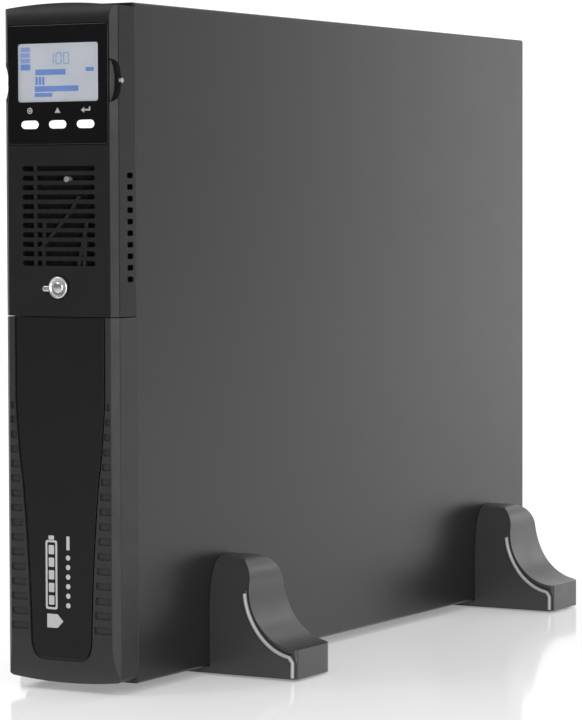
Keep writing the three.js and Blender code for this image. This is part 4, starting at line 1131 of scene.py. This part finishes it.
def earth_stud():
    """Nut, washer and thread of the earth stud."""
    def collar(radius, thick, start, sides, hole):
        ring = turned([(0, 0), (radius, 0), (radius, thick), (0, thick)],
                      (PORT_X, ON_PANEL + start, EARTH_Z), steps=sides)
        return cut(ring, rod("y", PORT_X, EARTH_Z, hole, ON_PANEL, ON_PANEL + 20))

    parts = [collar(4.6, 3.2, 4.1, 6, 2.45), collar(5.6, 0.8, 7.4, 32, 2.6)]
    piece("earth_nut", together(parts), "brass", edge=0.2)
    profile = [(0, 0), (2.45, 0), (2.62, 0.25), (2.45, 0.5), (0, 0.5)]
    threads = [turned(profile, (PORT_X, ON_PANEL + 8.4 + k * 0.8, EARTH_Z), steps=24) for k in range(5)]
    piece("earth_thread", together(threads), "brass", edge=0)


def board_parts():
    """Small parts on the main board: capacitors, relays and chips."""
    face = -32.4
    profile = [(0, 0), (6.2, 0), (6.2, 1.2), (5.8, 1.8), (6.2, 2.4), (6.2, 19), (5.7, 19.6), (0, 19.6)]
    cans = [turned(profile, (face, y, z), "x", 24)
            for y, z in ((206, 262), (206, 282), (206, 302), (222, 272), (222, 292))]
    piece("board_capacitors", together(cans), "can_sleeve", edge=0)
    relays = [extrude(round_box(y, y + 19, 340, 352, 1), "x", face, face + 15, 0, 0.8)
              for y in (90, 114, 138, 162)]
    piece("board_relays", together(relays), "terminal_green", edge=0.2)
    chips = [extrude(round_box(y, y + 10, z, z + 10, 0.4, 3), "x", face, face + 1.6)
             for y, z in ((410, 300), (410, 330), (430, 300), (430, 350))]
    piece("board_chips", together(chips), "socket_black", edge=0.15)


# ---------------------------------------------------------------- CAD nodes that stay in view
# Material, then each node with the width its edges are rounded by.
CARRIED = {
    "case_steel": {"chassis_base": 0.35, "rear_panel": 0.25, "slot_cover": 0.2},
    "inner_steel": {"front_frame": 0, "bay_divider": 0, "battery_tray": 0.25, "tray_retainer": 0},
    "brass": {"ground_stud": 0.15},
    "plated": {"usb_port": 0.15, "serial_port": 0.15},
    "board_green": {"display_board": 0.1, "main_board": 0.1},
    "sink_aluminium": {"heatsink_1": 0.2, "heatsink_2": 0.2},
    "winding_copper": {"choke_1": 0, "choke_2": 0},
    "can_sleeve": {"bus_capacitor_1": 0.2, "bus_capacitor_2": 0.2},
    "ferrite": {"transformer": 0.4},
    "foam": {"battery_spacer": 0.8},
    "socket_black": {"fan_frame": 0.3, "power_inlet": 0.3, "outlet_block_lower": 0.25,
                     "outlet_block_upper": 0.25, "breaker_body": 0.2},
    # The breaker button glows with a painted glow from its emission.
    "key_white": {"breaker_button": 0.3},
    "terminal_green": {"terminal_block": 0.2},
    "battery_case": {f"battery_{k}": 0.9 for k in range(1, 7)},
    "pad_rubber": {f"{end}_pad_{side}": 0.4 for end in ("front", "rear") for side in ("right", "left")},
}

# Faces with several holes keep their triangles: joined into one polygon they would fill badly.
PIERCED = ("outlet_block_lower", "outlet_block_upper", "front_frame", "bay_divider", "tray_retainer")


def carry_over():
    """Procedural materials and rounded edges on the CAD nodes that are shown as they are."""
    for material, widths in CARRIED.items():
        for name, width in widths.items():
            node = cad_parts[name]
            node.data.materials.clear()
            node.data.materials.append(M[material])
            node.modifiers.new("weld", "WELD").merge_threshold = 0.000002
            if name not in PIERCED:
                flat = node.modifiers.new("flat", "DECIMATE")
                flat.decimate_type, flat.angle_limit = "DISSOLVE", math.radians(0.5)
            edged(node, width)


# ---------------------------------------------------------------- studio
def floor():
    """A plain pale floor with a soft sheen."""
    g = Graph("studio_floor")
    tone = g.tint(g.noise(1.2, 1.0), (0.86, 0.86, 0.865), (0.88, 0.88, 0.88))
    matt = g.add("BsdfDiffuse", {"Color": tone}).outputs[0]
    glow = g.add("Emission", {"Color": tone, "Strength": GLOW}).outputs[0]
    base = g.add("AddShader", {0: matt, 1: glow}).outputs[0]
    sheen = g.add("BsdfGlossy", {"Color": (1, 1, 1, 1), "Roughness": 0.1}).outputs[0]
    work = bmesh.new()
    bmesh.ops.create_circle(work, cap_ends=True, segments=96, radius=4.0)
    mesh = bpy.data.meshes.new("studio_floor")
    work.to_mesh(mesh)
    work.free()
    mesh.materials.append(g.close(g.blend(0.36, base, sheen)))
    ground = bpy.data.objects.new("studio_floor", mesh)
    bpy.context.scene.collection.objects.link(ground)


def softbox(name, place, target, wide, high, power):
    """A rectangular light that points at a target."""
    lamp = bpy.data.lights.new(name, "AREA")
    lamp.shape, lamp.size, lamp.size_y, lamp.energy = "RECTANGLE", wide, high, power
    holder = bpy.data.objects.new(name, lamp)
    bpy.context.scene.collection.objects.link(holder)
    holder.location = place
    holder.rotation_euler = (Vector(target) - Vector(place)).to_track_quat("-Z", "Y").to_euler()
    holder.visible_camera = False


def surroundings():
    """A white studio: bright overhead and behind the object, dim in front of it."""
    world = bpy.data.worlds.new("studio")
    bpy.context.scene.world = world
    g = Graph("studio", world)

    def ramp(value, start, end, low, high):
        inputs = {"Value": value, "From Min": start, "From Max": end, "To Min": low, "To Max": high}
        return g.add("MapRange", inputs, interpolation_type="SMOOTHSTEP").outputs["Result"]

    direction = g.add("TexCoord").outputs["Generated"]
    up = g.add("SeparateXYZ", {"Vector": direction}).outputs["Z"]
    away = g.add("VectorMath", {0: direction, 1: (-0.6, 0.8, 0)}, operation="DOT_PRODUCT")
    lighting = g.sum(ramp(away.outputs["Value"], 0.1, 0.9, DIM, BEHIND), ramp(up, 0.3, 0.85, 0.0, ABOVE))
    seen = g.add("LightPath").outputs["Is Camera Ray"]
    level = g.add("Mix", {"Factor": seen, "A": lighting, "B": WHITE}).outputs["Result"]
    sky = g.add("Background", {"Color": (1, 1, 1, 1), "Strength": level})
    g.add("OutputWorld", {"Surface": sky.outputs[0]})


def studio():
    floor()
    surroundings()
    softbox("rear_right_box", (0.8, 2.2, 0.6), (0.05, 0.25, 0.25), 0.5, 1.2, REAR_POWER)
    softbox("right_front_box", (1.95, -1.4, 0.8), (0, 0, 0.25), 0.7, 1.4, SIDE_POWER)
    softbox("front_left_box", (-1.5, -1.9, 2.0), (0, 0, 0.2), 0.8, 0.8, KEY_POWER)
    bpy.context.scene.view_settings.view_transform = "Standard"


def camera():
    """30 degrees round from the front, a little above the middle of the case."""
    turn, down, roll = math.radians(30.0), math.radians(2.732), math.radians(-0.206)
    level = Vector((-math.sin(turn), math.cos(turn), 0))
    ahead = level * math.cos(down) - Vector((0, 0, math.sin(down)))
    flat = Vector((math.cos(turn), math.sin(turn), 0))
    upright = flat.cross(ahead)
    right = math.cos(roll) * flat + math.sin(roll) * upright
    up = math.cos(roll) * upright - math.sin(roll) * flat
    data = bpy.data.cameras.new("camera")
    data.lens, data.sensor_width = 158.94, 36.0
    data.shift_x, data.shift_y = 0.0383, -0.0086
    data.clip_start, data.clip_end = 0.05, 100
    eye = bpy.data.objects.new("camera", data)
    bpy.context.scene.collection.objects.link(eye)
    axes = Matrix((right, up, -ahead)).transposed().to_4x4()
    eye.matrix_world = Matrix.Translation(TO_ROW @ Vector(CAMERA_AT)) @ axes
    bpy.context.scene.camera = eye


for build in (camera, studio, case_cover, side_screws, upper_bezel, grille_ribs, latch_nubs, dust_filter,
              badge_and_lens, battery_cover, cover_inset, cover_print, display_module, screen_marks,
              display_keys, key_marks, feet, tray_details, connectors, battery_tops, fan_pieces,
              fan_rotor, outlet_contacts, port_metal, rear_fasteners, earth_stud, board_parts, carry_over):
    build()
